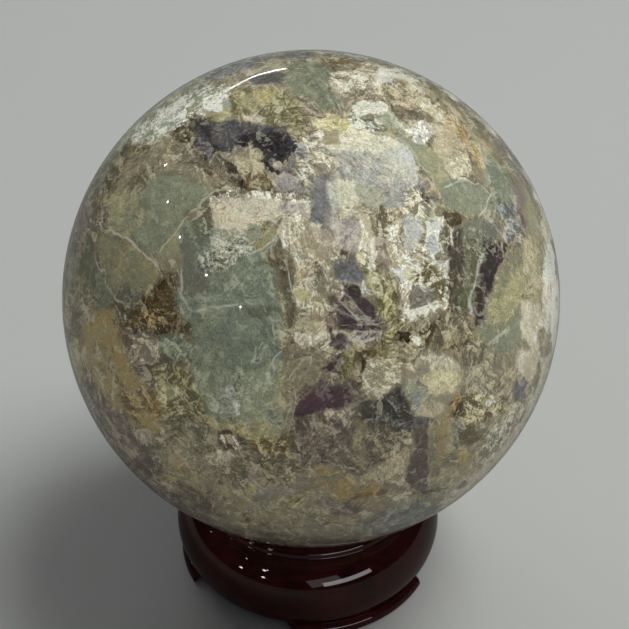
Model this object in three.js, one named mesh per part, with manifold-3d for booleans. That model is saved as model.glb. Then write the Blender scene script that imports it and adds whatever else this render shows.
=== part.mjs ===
// Fluorite sphere on a carved rosewood ring stand.
//
// A ball of banded fluorite, ground and polished all round, rests in the dished
// seat of a small turned stand. The stand is one piece of wood: a fat ring with
// a bead round its mouth, cut into three low feet underneath.
//
// Millimetres, +Z up. The origin is on the table, under the middle of the ball.
// The photograph looks along +Y, so -Y is the front.

import * as THREE from 'three';
import { mergeVertices } from 'three/addons/utils/BufferGeometryUtils.js';
import Module from 'manifold-3d';

// The ball
const ballDiameter = 100;
const ballRadius = ballDiameter / 2;
const ballCentreHeight = 68.4;
const ballSubdivision = 21;

// The seat that the ball rests in, hollowed to the ball's own curve
const seatGap = 0.3;
const seatOuterRadius = 20.5;
const lipThickness = 0.9;
const mouthRadius = 13;
const edgeChamfer = 0.6;

// The bead round the mouth, and the narrow band outside it
const beadRadius = 23.6;
const beadHeight = 19.2;
const beadThickness = 1.6;
const bandInnerRadius = 25.4;
const bandInnerHeight = 18.9;
const bandOuterRadius = 26.9;
const bandOuterHeight = 18.15;

// The fat rounded ring, a part of a circle in section
const ringSectionRadius = 12;
const ringSectionCentre = 18.6;
const ringSectionHeight = 9.5;
const ringTopRadius = 27.2;
const ringBottomRadius = 28.6;

// The feet
const footCount = 3;
const footOuterRadius = 30;
const footInnerRadius = 21.2;
const footHeight = 2.6;
const footToeRounding = 0.6;
const footShoulderRounding = 1.6;
const grooveRadius = 28;
const grooveHeight = 2.74;
const firstFootTurn = THREE.MathUtils.degToRad(-63);
const archHeight = 2.4;
const archWidth = 26.6;
const archCornerRadius = 1.6;
const cutterOvershoot = 1;
const undersideHeight = 3.2;

const turningSteps = 60;

// Points of a circular arc in the turning profile, from one angle to another
function arc(centreRadius, centreHeight, radius, fromDegrees, toDegrees, steps) {
  const points = [];
  for (let i = 0; i <= steps; i++) {
    const angle = THREE.MathUtils.degToRad(fromDegrees + ((toDegrees - fromDegrees) * i) / steps);
    points.push(new THREE.Vector2(
      centreRadius + radius * Math.cos(angle),
      centreHeight + radius * Math.sin(angle),
    ));
  }
  return points;
}

// The angle, seen from an arc's centre, at which the arc reaches a given radius
function angleAtRadius(centreRadius, radius, wanted) {
  return THREE.MathUtils.radToDeg(Math.acos((wanted - centreRadius) / radius));
}

// The closed section of the whole stand, turned round the upright axis
function standProfile() {
  const seatRadius = ballRadius + seatGap;
  const seatHeightAt = (r) => ballCentreHeight - Math.sqrt(seatRadius ** 2 - r ** 2);
  const seatAngle = (r) => -angleAtRadius(0, seatRadius, r);

  const underside = [
    new THREE.Vector2(mouthRadius + edgeChamfer, undersideHeight),
    new THREE.Vector2(footInnerRadius - edgeChamfer, undersideHeight),
    new THREE.Vector2(footInnerRadius, undersideHeight - edgeChamfer),
    new THREE.Vector2(footInnerRadius, 0),
  ];
  const toe = arc(footOuterRadius - footToeRounding, footToeRounding, footToeRounding, -90, 0, 3);
  const shoulder = arc(
    footOuterRadius - footShoulderRounding,
    footHeight - footShoulderRounding,
    footShoulderRounding,
    0,
    90,
    4,
  );
  const groove = [new THREE.Vector2(grooveRadius, grooveHeight)];
  const ring = arc(
    ringSectionCentre,
    ringSectionHeight,
    ringSectionRadius,
    -angleAtRadius(ringSectionCentre, ringSectionRadius, ringBottomRadius),
    angleAtRadius(ringSectionCentre, ringSectionRadius, ringTopRadius),
    12,
  );
  const band = [
    new THREE.Vector2(bandOuterRadius, bandOuterHeight),
    new THREE.Vector2(bandInnerRadius, bandInnerHeight),
  ];
  const bead = arc(beadRadius, beadHeight, beadThickness, 0, 150, 6);
  const lip = arc(seatOuterRadius, seatHeightAt(seatOuterRadius) - lipThickness, lipThickness, 0, 60, 2);
  const seat = arc(
    0,
    ballCentreHeight,
    seatRadius,
    seatAngle(seatOuterRadius),
    seatAngle(mouthRadius + edgeChamfer),
    3,
  );
  const mouth = [
    new THREE.Vector2(mouthRadius, seatHeightAt(mouthRadius) - edgeChamfer),
    new THREE.Vector2(mouthRadius, undersideHeight + edgeChamfer),
  ];
  const foot = [...toe, ...shoulder, ...groove];
  const outline = [...underside, ...foot, ...ring, ...band, ...bead, ...lip, ...seat, ...mouth];
  return [...outline, outline[0].clone()];
}

// One arch between two feet: a flat opening with rounded upper corners, run outwards
// from the middle of the stand
function archCutter(turn) {
  const half = archWidth / 2;
  const cornerX = half - archCornerRadius;
  const cornerZ = archHeight - archCornerRadius;
  const outline = new THREE.Shape();
  outline.moveTo(-half, -cutterOvershoot);
  outline.lineTo(half, -cutterOvershoot);
  outline.absarc(cornerX, cornerZ, archCornerRadius, 0, Math.PI / 2);
  outline.absarc(-cornerX, cornerZ, archCornerRadius, Math.PI / 2, Math.PI);
  outline.closePath();
  const geometry = new THREE.ExtrudeGeometry(outline, {
    depth: footOuterRadius + cutterOvershoot,
    bevelEnabled: false,
    curveSegments: 4,
  });
  geometry.rotateX(Math.PI / 2);
  geometry.rotateZ(turn + Math.PI / 2);
  return geometry;
}

const wasm = await Module();
wasm.setup();

// A closed mesh with shared corners, as a solid that can be cut
function toSolid(geometry) {
  const plain = geometry.clone();
  plain.deleteAttribute('normal');
  plain.deleteAttribute('uv');
  const merged = mergeVertices(plain, 1e-4);
  return new wasm.Manifold(new wasm.Mesh({
    numProp: 3,
    vertProperties: new Float32Array(merged.attributes.position.array),
    triVerts: new Uint32Array(merged.index.array),
  }));
}

function toGeometry(solid) {
  const mesh = solid.getMesh();
  const geometry = new THREE.BufferGeometry();
  geometry.setAttribute('position', new THREE.BufferAttribute(new Float32Array(mesh.vertProperties), 3));
  geometry.setIndex(new THREE.BufferAttribute(new Uint32Array(mesh.triVerts), 1));
  geometry.computeVertexNormals();
  return geometry;
}

function standGeometry() {
  const turned = new THREE.LatheGeometry(standProfile(), turningSteps);
  turned.rotateX(Math.PI / 2);
  let solid = toSolid(turned);
  const step = (2 * Math.PI) / footCount;
  for (let i = 0; i < footCount; i++) {
    const midwayToNextFoot = firstFootTurn + (i + 0.5) * step;
    solid = solid.subtract(toSolid(archCutter(midwayToNextFoot)));
  }
  return toGeometry(solid);
}

// Grey-green stone with purple and ochre bands, under a clear polish
const fluorite = new THREE.MeshStandardMaterial({ color: 0x8d8a74, roughness: 0.12, metalness: 0 });

// Very dark red-brown wood under a gloss lacquer
const rosewood = new THREE.MeshStandardMaterial({ color: 0x2a0f10, roughness: 0.2, metalness: 0 });

const ball = new THREE.Mesh(new THREE.OctahedronGeometry(ballRadius, ballSubdivision), fluorite);
ball.name = 'fluorite_sphere';
ball.position.set(0, 0, ballCentreHeight);

const stand = new THREE.Mesh(standGeometry(), rosewood);
stand.name = 'rosewood_stand';

const group = new THREE.Group();
group.add(ball, stand);

export default group;
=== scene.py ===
# %% [markdown]
# A fluorite sphere on a rosewood ring stand
#
# The object has two pieces. The ball is one piece of fluorite, ground round and polished, and its
# whole interest is what shows through the polish: panes of sea-green crystal, bands of purple, milky
# crystals and ochre clay. The stand is one turned piece of rosewood under a gloss lacquer. The first
# cell loads the packed model, which fixes every size in this scene.

from math import asin, cos, degrees, pi, radians, sin, sqrt

import bpy
import numpy as np
from mathutils import Matrix, Vector


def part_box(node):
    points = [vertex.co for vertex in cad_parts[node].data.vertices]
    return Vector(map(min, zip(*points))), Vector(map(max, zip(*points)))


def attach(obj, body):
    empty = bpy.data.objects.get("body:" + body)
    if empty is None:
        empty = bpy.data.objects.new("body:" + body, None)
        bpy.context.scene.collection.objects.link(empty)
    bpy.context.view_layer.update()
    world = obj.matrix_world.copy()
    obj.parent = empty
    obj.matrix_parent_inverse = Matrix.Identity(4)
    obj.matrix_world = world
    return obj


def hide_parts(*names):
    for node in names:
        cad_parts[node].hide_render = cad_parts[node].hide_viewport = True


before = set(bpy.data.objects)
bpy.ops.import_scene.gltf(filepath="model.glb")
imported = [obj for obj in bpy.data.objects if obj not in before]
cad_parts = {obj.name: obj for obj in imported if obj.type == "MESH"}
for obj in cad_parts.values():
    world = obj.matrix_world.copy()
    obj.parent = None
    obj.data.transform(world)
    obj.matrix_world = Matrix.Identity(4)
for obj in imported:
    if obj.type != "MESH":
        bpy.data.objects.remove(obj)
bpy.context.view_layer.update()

# %% [markdown]
# Sizes are written in millimetres, as a stone worker would say them, and turned to metres in one
# place. The ball's radius and the height of its middle come from the packed model's own box, so the
# ball stays where the stand carries it.

# %% Sizes of the ball
MM = 0.001
ball_low, ball_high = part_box("fluorite_sphere")
BALL_RADIUS = (ball_high.x - ball_low.x) / 2
BALL_CENTRE = (ball_low + ball_high) / 2
print("ball radius", round(BALL_RADIUS / MM, 2), "mm, middle at", round(BALL_CENTRE.z / MM, 2), "mm")

# %% [markdown]
# The camera looks down on the ball from in front, about two hands' breadths away. At such a short
# distance a ball shows less than its half, which the camera's real distance gives by itself. The
# camera is placed by its distance and height over the ball's middle, then turned a little so that
# the ball sits where it does in the picture, and tipped by about one degree.

# %% Camera
CAMERA_DISTANCE = 220 * MM
CAMERA_ELEVATION = radians(33)
CAMERA_TURN_RIGHT = radians(0.188)
CAMERA_TURN_DOWN = radians(0.805)
CAMERA_TIP = radians(0.9)
PICTURE_WIDTH = 629
FOCAL_LENGTH_IN_PICTURE = 1067
SENSOR_WIDTH = 36
NEAREST_SEEN, FARTHEST_SEEN = 0.01, 20


def new_object(name, data):
    made = bpy.data.objects.new(name, data)
    bpy.context.scene.collection.objects.link(made)
    return made


towards_camera = Vector((0, -cos(CAMERA_ELEVATION), sin(CAMERA_ELEVATION)))
camera_data = bpy.data.cameras.new("camera")
camera_data.sensor_width = SENSOR_WIDTH
camera_data.lens = SENSOR_WIDTH * FOCAL_LENGTH_IN_PICTURE / PICTURE_WIDTH
camera_data.clip_start, camera_data.clip_end = NEAREST_SEEN, FARTHEST_SEEN
camera = new_object("camera", camera_data)
bpy.context.scene.camera = camera
camera.location = BALL_CENTRE + towards_camera * CAMERA_DISTANCE
facing_ball = towards_camera.to_track_quat("Z", "Y").to_matrix()
tip = Matrix.Rotation(CAMERA_TIP, 3, "Z")
turn = Matrix.Rotation(-CAMERA_TURN_RIGHT, 3, "Y") @ Matrix.Rotation(-CAMERA_TURN_DOWN, 3, "X")
camera.rotation_mode = "QUATERNION"
camera.rotation_quaternion = (facing_ball @ turn @ tip).to_quaternion()
print("camera at", [round(x, 4) for x in camera.location], "lens", round(camera_data.lens, 2))

# %% [markdown]
# Every material here is a tree of nodes, and a few kinds of node come again and again: sums,
# mixtures of colours, noise. A recipe gives each of them one short word, so that a material reads as
# what is done to the wood or the stone.

# %% Short words for nodes
class Recipe:
    def __init__(self, tree):
        self.tree = tree

    def node(self, kind, links=None, **settings):
        # Adds a node, sets its own settings, and joins or fills the inputs that links names
        node = self.tree.nodes.new(kind)
        for setting, value in settings.items():
            setattr(node, setting, value)
        for key, value in (links or {}).items():
            socket = node.inputs[key]
            if isinstance(value, bpy.types.NodeSocket):
                self.tree.links.new(value, socket)
            else:
                socket.default_value = value
        return node

    def math(self, operation, *values):
        return self.node("ShaderNodeMath", dict(enumerate(values)), operation=operation).outputs[0]

    def plus(self, a, b):
        return self.math("ADD", a, b)

    def minus(self, a, b):
        return self.math("SUBTRACT", a, b)

    def times(self, a, b):
        return self.math("MULTIPLY", a, b)

    def mixture(self, total, *shares):
        # A sum that starts at total and takes in each value by its share
        for value, share in shares:
            total = self.math("MULTIPLY_ADD", value, share, total)
        return total

    def spread(self, value, low, high, to_low=0.0, to_high=1.0, smooth=False):
        # Moves a value from one range to another, and stops it at the ends
        kind = "SMOOTHSTEP" if smooth else "LINEAR"
        links = {"Value": value, "From Min": low, "From Max": high, "To Min": to_low, "To Max": to_high}
        return self.node("ShaderNodeMapRange", links, interpolation_type=kind).outputs["Result"]

    def vector(self, operation, a, b=None, scale=None):
        links = {key: value for key, value in ((0, a), (1, b), ("Scale", scale)) if value is not None}
        return self.node("ShaderNodeVectorMath", links, operation=operation).outputs[0]

    def parts(self, vector):
        return self.node("ShaderNodeSeparateXYZ", {0: vector}).outputs

    def combined(self, x, y, z):
        return self.node("ShaderNodeCombineXYZ", {0: x, 1: y, 2: z}).outputs[0]

    def noise(self, place, wavelength, detail=2.0, roughness=0.5):
        links = {"Vector": place, "Scale": 1 / wavelength, "Detail": detail, "Roughness": roughness}
        return self.node("ShaderNodeTexNoise", links).outputs[0]

    def over(self, below, above, cover, **settings):
        # Mixes two colours: all below where cover is nothing, all above where it is one
        links = {0: cover, 6: below, 7: above}
        return self.node("ShaderNodeMix", links, data_type="RGBA", **settings).outputs[2]

    def surface(self, links):
        shader = self.node("ShaderNodeBsdfPrincipled", links)
        self.node("ShaderNodeOutputMaterial", {"Surface": shader.outputs[0]})


def make_material(name):
    material = bpy.data.materials.new(name)
    material.use_nodes = True
    material.node_tree.nodes.clear()
    return material


print("short words:", [word for word in vars(Recipe) if not word.startswith("_")])

# %% [markdown]
# A glossy ball mirrors everything round it, so the light is set up in two parts. Large soft lights
# shape the ball and its shadow, and are left out of the mirror images. A few small lamps, which come
# later, are there only to be mirrored. The floor and the sky are made darker in mirror images too, so
# that they don't lie as a veil over the stone's colours.

# %% Floor and soft light
FLOOR_SIZE = 8.0
FLOOR_TONE = (0.583, 0.601, 0.586, 1)
MIRRORED_FLOOR_TONE = (0.24, 0.242, 0.23, 1)
FLOOR_ROUGHNESS = 0.75
SKY_TONE = (0.97, 0.985, 1.0, 1)
SKY_AT_HORIZON, SKY_OVERHEAD = 0.05, 0.13
MIRRORED_SKY_SHARE = 0.2
WHITE = (1, 1, 1)
SOFT_LIGHTS = {
    # Each light's place from the ball's middle and its size in metres, its power in watts, its tint
    "key": ((0.66, 0.14, 1.42), 0.9, 17.5, (1.0, 0.99, 0.97)),
    "overhead": ((-0.55, 1.0, 0.85), 0.9, 3.4, WHITE),
    "overhead_near": ((0.15, 0.45, 1.1), 0.9, 1.6, WHITE),
    "side": ((1.15, -0.15, 0.5), 0.7, 4.4, (1.0, 0.98, 0.93)),
    "fill": ((-0.40, -0.85, 0.55), 0.7, 3.5, (1.0, 0.94, 0.80)),
}

floor_mesh = bpy.data.meshes.new("floor")
half = FLOOR_SIZE / 2
floor_corners = [(-half, -half, 0), (half, -half, 0), (half, half, 0), (-half, half, 0)]
floor_mesh.from_pydata(floor_corners, [], [(0, 1, 2, 3)])
floor = new_object("floor", floor_mesh)
floor_material = make_material("pale_floor")
floor_paint = Recipe(floor_material.node_tree)
mirrored_ray = floor_paint.node("ShaderNodeLightPath").outputs["Is Glossy Ray"]
tone = floor_paint.over(FLOOR_TONE, MIRRORED_FLOOR_TONE, mirrored_ray)
floor_paint.surface({"Base Color": tone, "Roughness": FLOOR_ROUGHNESS})
floor_mesh.materials.append(floor_material)

world = bpy.data.worlds.new("studio")
bpy.context.scene.world = world
world.use_nodes = True
world.node_tree.nodes.clear()
sky = Recipe(world.node_tree)
height = sky.parts(sky.node("ShaderNodeTexCoord").outputs["Generated"])["Z"]
mirrored_ray = sky.node("ShaderNodeLightPath").outputs["Is Glossy Ray"]
dimmer = sky.spread(mirrored_ray, 0.0, 1.0, 1.0, MIRRORED_SKY_SHARE)
strength = sky.times(sky.spread(height, 0.0, 1.0, SKY_AT_HORIZON, SKY_OVERHEAD), dimmer)
background = sky.node("ShaderNodeBackground", {"Color": SKY_TONE, "Strength": strength})
sky.node("ShaderNodeOutputWorld", {"Surface": background.outputs[0]})


def soft_light(name, place, size, power, tint=WHITE, height=None, mirrored=False):
    light = bpy.data.lights.new(name, "AREA")
    light.shape = "RECTANGLE" if height else "SQUARE"
    light.size = size
    if height:
        light.size_y = height
    light.energy = power
    light.color = tint
    lamp = new_object(name, light)
    lamp.location = BALL_CENTRE + Vector(place)
    lamp.rotation_mode = "QUATERNION"
    lamp.rotation_quaternion = (lamp.location - BALL_CENTRE).to_track_quat("Z", "Y")
    lamp.visible_glossy = mirrored
    lamp.visible_camera = False
    return lamp


for name, (place, size, power, tint) in SOFT_LIGHTS.items():
    soft_light(name, place, size, power, tint)
bpy.context.scene.view_settings.view_transform = "Standard"
print("soft lights:", list(SOFT_LIGHTS))

# %% [markdown]
# A turned stand is a section carried round an axis, which is what a lathe does, so Geometry Nodes
# turn it: the section is a line of points, a circle is the rail, and Curve to Mesh carries the one
# round the other. The section is the one that the CAD model uses, with more points on every curve.

# %% The stand's turning section
SEAT_RADIUS = 50.3
SEAT_OUTER_RADIUS = 20.5
LIP_THICKNESS, LIP_END = 0.9, 60
MOUTH_RADIUS = 13
EDGE_ROUNDING = 0.6
BEAD_RADIUS, BEAD_HEIGHT, BEAD_THICKNESS, BEAD_END = 23.6, 19.2, 1.6, 150
BAND_INNER, BAND_OUTER = (25.4, 18.9), (26.9, 18.15)
RING_SECTION_CENTRE, RING_SECTION_HEIGHT, RING_SECTION_RADIUS = 18.6, 9.5, 12
RING_TOP_RADIUS, RING_BOTTOM_RADIUS = 27.2, 28.6
FOOT_OUTER_RADIUS, FOOT_INNER_RADIUS, FOOT_HEIGHT = 30, 21.2, 2.6
FOOT_TOE_ROUNDING, FOOT_SHOULDER_ROUNDING = 0.6, 1.6
GROOVE = (28, 2.74)
UNDERSIDE_HEIGHT = 3.2
BALL_CENTRE_HEIGHT = BALL_CENTRE.z / MM


def arc(centre_radius, centre_height, radius, start, end, steps):
    angles = [radians(start + (end - start) * i / steps) for i in range(steps + 1)]
    return [(centre_radius + radius * cos(a), centre_height + radius * sin(a)) for a in angles]


def straight(start, end, steps):
    # Only the points between the two ends
    return [tuple(a + (b - a) * i / steps for a, b in zip(start, end)) for i in range(1, steps)]


def ring_angle(wanted):
    # The angle at which the ring's round section reaches a radius
    return degrees(np.arccos((wanted - RING_SECTION_CENTRE) / RING_SECTION_RADIUS))


def seat_angle(radius):
    return degrees(asin(radius / SEAT_RADIUS)) - 90


def seat_height(radius):
    return BALL_CENTRE_HEIGHT - sqrt(SEAT_RADIUS**2 - radius**2)


def rounding(outer_radius, centre_height, radius, start, end, steps):
    # An arc that reaches out to outer_radius
    return arc(outer_radius - radius, centre_height, radius, start, end, steps)


def stand_section():
    # Points of the closed section, (radius, height) in millimetres, anticlockwise from the underside
    inner = MOUTH_RADIUS + EDGE_ROUNDING
    under_start, under_end = (inner, UNDERSIDE_HEIGHT), (FOOT_INNER_RADIUS - EDGE_ROUNDING, UNDERSIDE_HEIGHT)
    foot_wall_top = (FOOT_INNER_RADIUS, UNDERSIDE_HEIGHT - EDGE_ROUNDING)
    sole_start = (FOOT_INNER_RADIUS, 0)
    toe = rounding(FOOT_OUTER_RADIUS, FOOT_TOE_ROUNDING, FOOT_TOE_ROUNDING, -90, 0, steps=5)
    shoulder_height = FOOT_HEIGHT - FOOT_SHOULDER_ROUNDING
    shoulder = rounding(FOOT_OUTER_RADIUS, shoulder_height, FOOT_SHOULDER_ROUNDING, 0, 90, steps=8)
    ring_start, ring_end = -ring_angle(RING_BOTTOM_RADIUS), ring_angle(RING_TOP_RADIUS)
    ring = arc(RING_SECTION_CENTRE, RING_SECTION_HEIGHT, RING_SECTION_RADIUS, ring_start, ring_end, steps=44)
    bead = arc(BEAD_RADIUS, BEAD_HEIGHT, BEAD_THICKNESS, 0, BEAD_END, steps=16)
    lip_height = seat_height(SEAT_OUTER_RADIUS) - LIP_THICKNESS
    lip = arc(SEAT_OUTER_RADIUS, lip_height, LIP_THICKNESS, 0, LIP_END, steps=4)
    seat_from, seat_to = seat_angle(SEAT_OUTER_RADIUS), seat_angle(inner)
    seat = arc(0, BALL_CENTRE_HEIGHT, SEAT_RADIUS, seat_from, seat_to, steps=8)
    mouth_top = (MOUTH_RADIUS, seat_height(MOUTH_RADIUS) - EDGE_ROUNDING)
    mouth_low = (MOUTH_RADIUS, UNDERSIDE_HEIGHT + EDGE_ROUNDING)
    return [
        under_start, *straight(under_start, under_end, steps=6), under_end,
        foot_wall_top, *straight(foot_wall_top, sole_start, steps=4), sole_start,
        *straight(sole_start, toe[0], steps=7), *toe, *shoulder, GROOVE, *ring,
        *straight(ring[-1], BAND_OUTER, steps=2), BAND_OUTER,
        *straight(BAND_OUTER, BAND_INNER, steps=3), BAND_INNER,
        *bead, *lip, *seat, mouth_top, *straight(mouth_top, mouth_low, steps=8), mouth_low,
    ]


section = stand_section()
section_mesh = bpy.data.meshes.new("rosewood_ring_stand")
section_mesh.from_pydata(
    [((r - RING_SECTION_CENTRE) * MM, -z * MM, 0) for r, z in section],
    [(i, (i + 1) % len(section)) for i in range(len(section))],
    [],
)
stand = new_object("rosewood_ring_stand", section_mesh)
print("points in the section:", len(section))

# %% [markdown]
# A node tree can be kept as a group with named inputs, so that a reader can turn a size by hand and
# see the piece change. The same few steps end every group here: what it made is turned into a plain
# mesh, takes its material, and becomes the object's own mesh in place of the modifier.

# %% Node groups with named sizes
class NodeGroup(Recipe):
    def __init__(self, name):
        super().__init__(bpy.data.node_groups.new(name, "GeometryNodeTree"))
        self.tree.interface.new_socket("Geometry", in_out="INPUT", socket_type="NodeSocketGeometry")
        self.tree.interface.new_socket("Geometry", in_out="OUTPUT", socket_type="NodeSocketGeometry")
        self.entry = self.tree.nodes.new("NodeGroupInput")
        self.exit = self.tree.nodes.new("NodeGroupOutput")
        self.values = {}

    def size(self, name, value, kind="NodeSocketFloat"):
        socket = self.tree.interface.new_socket(name, in_out="INPUT", socket_type=kind)
        self.values[socket.identifier] = value
        return self.entry.outputs[name]

    def close(self, geometry, material):
        realized = self.node("GeometryNodeRealizeInstances", {"Geometry": geometry})
        links = {"Geometry": realized.outputs[0], "Material": material}
        self.tree.links.new(self.node("GeometryNodeSetMaterial", links).outputs[0], self.exit.inputs[0])

    def apply_to(self, obj):
        # Runs the tree on the object and leaves the result as the object's own plain mesh
        modifier = obj.modifiers.new(self.tree.name, "NODES")
        modifier.node_group = self.tree
        for identifier, value in self.values.items():
            modifier[identifier] = value
        evaluated = obj.evaluated_get(bpy.context.evaluated_depsgraph_get())
        mesh = bpy.data.meshes.new_from_object(evaluated)
        obj.modifiers.remove(modifier)
        mesh.name = obj.name
        mesh.shade_smooth()
        obj.data = mesh
        return mesh


def mesh_points(mesh):
    points = np.zeros(len(mesh.vertices) * 3)
    mesh.vertices.foreach_get("co", points)
    return points.reshape(-1, 3)


def tell_size(name, mesh):
    points = mesh_points(mesh) / MM
    print(name, "box, mm:", points.min(0).round(2), points.max(0).round(2), "faces", len(mesh.polygons))


print("short words of a group:", [word for word in vars(NodeGroup) if not word.startswith("_")])

# %% [markdown]
# The three feet are what is left when three low arches are cut under the ring. In the node tree the
# same thing is a rule on height: inside an arch nothing may be lower than the arch's ceiling, and the
# flange of the foot draws back under the ring. Folding the angle into one third of a turn lets one
# rule make all three arches.

# %% Turn the stand and cut its arches
TURNING_STEPS = 336
FOOT_COUNT = 3.0
FIRST_ARCH_TURN = radians(-3)
ARCH_HALF_WIDTH, ARCH_HEIGHT, ARCH_CORNER_RADIUS = 13.3, 2.5, 1.6
RADIUS_BEHIND_ARCH = 28.2
RING_FOOT_HEIGHT = 2.8
SHARP_ANGLE = radians(32)

rosewood_material = make_material("lacquered_rosewood")
lathe = NodeGroup("turned_ring_stand")
rail_radius = lathe.size("Ring Section Centre", RING_SECTION_CENTRE * MM)
steps = lathe.size("Turning Steps", TURNING_STEPS, "NodeSocketInt")
foot_count = lathe.size("Foot Count", FOOT_COUNT)
first_arch = lathe.size("First Arch Turn", FIRST_ARCH_TURN)
arch_half = lathe.size("Half Arch Width", ARCH_HALF_WIDTH * MM)
arch_height = lathe.size("Arch Height", ARCH_HEIGHT * MM)
arch_corner = lathe.size("Arch Corner Radius", ARCH_CORNER_RADIUS * MM)
flange_radius = lathe.size("Foot Outer Radius", FOOT_OUTER_RADIUS * MM)
setback_radius = lathe.size("Radius Behind the Arch", RADIUS_BEHIND_ARCH * MM)
ring_foot = lathe.size("Foot of the Ring", RING_FOOT_HEIGHT * MM)

profile = lathe.node("GeometryNodeMeshToCurve", {"Mesh": lathe.entry.outputs["Geometry"]})
rail = lathe.node("GeometryNodeCurvePrimitiveCircle", {"Resolution": steps, "Radius": rail_radius})
upright = lathe.node("GeometryNodeSetCurveNormal", {"Curve": rail.outputs["Curve"]}, mode="Z_UP")
sweep = {"Curve": upright.outputs[0], "Profile Curve": profile.outputs[0]}
turned = lathe.node("GeometryNodeCurveToMesh", sweep)

x, y, z = lathe.parts(lathe.node("GeometryNodeInputPosition").outputs[0])
radius = lathe.math("SQRT", lathe.plus(lathe.times(x, x), lathe.times(y, y)))
angle = lathe.minus(lathe.math("ARCTAN2", y, x), first_arch)
third = lathe.math("DIVIDE", 2 * pi, foot_count)
half_third = lathe.math("DIVIDE", pi, foot_count)
folded = lathe.minus(lathe.math("FLOORED_MODULO", lathe.plus(angle, half_third), third), half_third)
sideways = lathe.math("ABSOLUTE", lathe.times(radius, lathe.math("SINE", folded)))

into_corner = lathe.math("MAXIMUM", lathe.minus(sideways, lathe.minus(arch_half, arch_corner)), 0.0)
corner_square = lathe.minus(lathe.times(arch_corner, arch_corner), lathe.times(into_corner, into_corner))
corner_rise = lathe.math("SQRT", lathe.math("MAXIMUM", corner_square, 0.0))
ceiling = lathe.plus(lathe.minus(arch_height, arch_corner), corner_rise)
ceiling_here = lathe.times(ceiling, lathe.math("LESS_THAN", sideways, arch_half))
new_height = lathe.math("MAXIMUM", z, ceiling_here)

share = lathe.math("DIVIDE", ceiling_here, arch_height)
limit = lathe.plus(flange_radius, lathe.times(share, lathe.minus(setback_radius, flange_radius)))
held_back = lathe.math("DIVIDE", lathe.math("MINIMUM", radius, limit), radius)
below_ring = lathe.math("LESS_THAN", z, ring_foot)
scale = lathe.plus(1.0, lathe.times(below_ring, lathe.minus(held_back, 1.0)))
moved = lathe.combined(lathe.times(x, scale), lathe.times(y, scale), new_height)
cut = lathe.node("GeometryNodeSetPosition", {"Geometry": turned.outputs[0], "Position": moved})
facing_out = lathe.node("GeometryNodeFlipFaces", {"Mesh": cut.outputs[0]})
lathe.close(facing_out.outputs[0], rosewood_material)
stand_mesh = lathe.apply_to(stand)
stand_mesh.set_sharp_from_angle(angle=SHARP_ANGLE)
tell_size("stand", stand_mesh)

# %% [markdown]
# Rosewood is close to black with a red heart, and the lacquer on it is thick and clear. The grain is
# made by noise stretched along one direction of the block, and the lacquer is the shader's clear
# coat, which keeps its mirror gloss while the wood under it stays dull.

# %% Lacquered rosewood
GRAIN_TURN = (0, 0, radians(24))
GRAIN_SCALE = (60, 900, 700)
CLOUD_SIZE = 1 / 90
DARK_WOOD = (0.006, 0.0010, 0.0012, 1)
RED_WOOD = (0.030, 0.0046, 0.0045, 1)
LACQUER = {"Coat Weight": 1.0, "Coat Roughness": 0.045, "Coat IOR": 1.5, "Specular IOR Level": 0.0}

rosewood = Recipe(rosewood_material.node_tree)
spot = rosewood.node("ShaderNodeTexCoord").outputs["Object"]
block = {"Vector": spot, "Rotation": GRAIN_TURN, "Scale": GRAIN_SCALE}
wood_grain = rosewood.noise(rosewood.node("ShaderNodeMapping", block).outputs[0], 1.0, 6.0, 0.6)
blend = rosewood.plus(wood_grain, rosewood.noise(spot, CLOUD_SIZE))
colour = rosewood.over(DARK_WOOD, RED_WOOD, rosewood.spread(blend, 0.75, 1.3))
pores = rosewood.node("ShaderNodeBump", {"Strength": 0.12, "Distance": 0.0002, "Height": wood_grain})
rosewood.surface({"Base Color": colour, "Roughness": 0.42, "Normal": pores.outputs[0], **LACQUER})
print("rosewood nodes:", len(rosewood.tree.nodes))

# %% [markdown]
# A ball made from rings has pinched poles, where a pattern tears. Here the ball starts as a cube whose
# faces are cut into even squares; each point then moves out to the ball's surface. Taking the tangent
# of the position first spaces the points by equal angles, so every square ends up about the same size.

# %% The ball
POINTS_ALONG_EDGE = 129

fluorite_material = make_material("polished_fluorite")
ball = new_object("fluorite_ball", bpy.data.meshes.new("fluorite_ball"))
grinder = NodeGroup("ball_from_a_cube")
points = grinder.size("Points along an Edge", POINTS_ALONG_EDGE, "NodeSocketInt")
ball_radius = grinder.size("Ball Radius", BALL_RADIUS)
middle = grinder.size("Middle of the Ball", tuple(BALL_CENTRE), "NodeSocketVector")
counts = {"Size": (2, 2, 2), "Vertices X": points, "Vertices Y": points, "Vertices Z": points}
cube = grinder.node("GeometryNodeMeshCube", counts)
place = grinder.node("GeometryNodeInputPosition").outputs[0]
even = grinder.vector("TANGENT", grinder.vector("SCALE", place, scale=pi / 4))
at_radius = grinder.vector("SCALE", grinder.vector("NORMALIZE", even), scale=ball_radius)
surface = grinder.vector("ADD", at_radius, middle)
ground = grinder.node("GeometryNodeSetPosition", {"Geometry": cube.outputs["Mesh"], "Position": surface})
grinder.close(ground.outputs[0], fluorite_material)
ball_mesh = grinder.apply_to(ball)
ball_points = mesh_points(ball_mesh)
tell_size("ball", ball_mesh)

# %% [markdown]
# The pattern is drawn as on a map. Seen from the camera the ball is a disc 100 mm across, and a spot on
# it is given in millimetres right of and above the disc's middle. Each point of the ball gets its spot
# on that map; past the edge that the camera sees, the map goes on round the ball. The far side uses the
# same map, turned and mirrored, because no picture shows it. A small ripple bends all the outlines, as
# crystal edges are never ruled lines.

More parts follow.
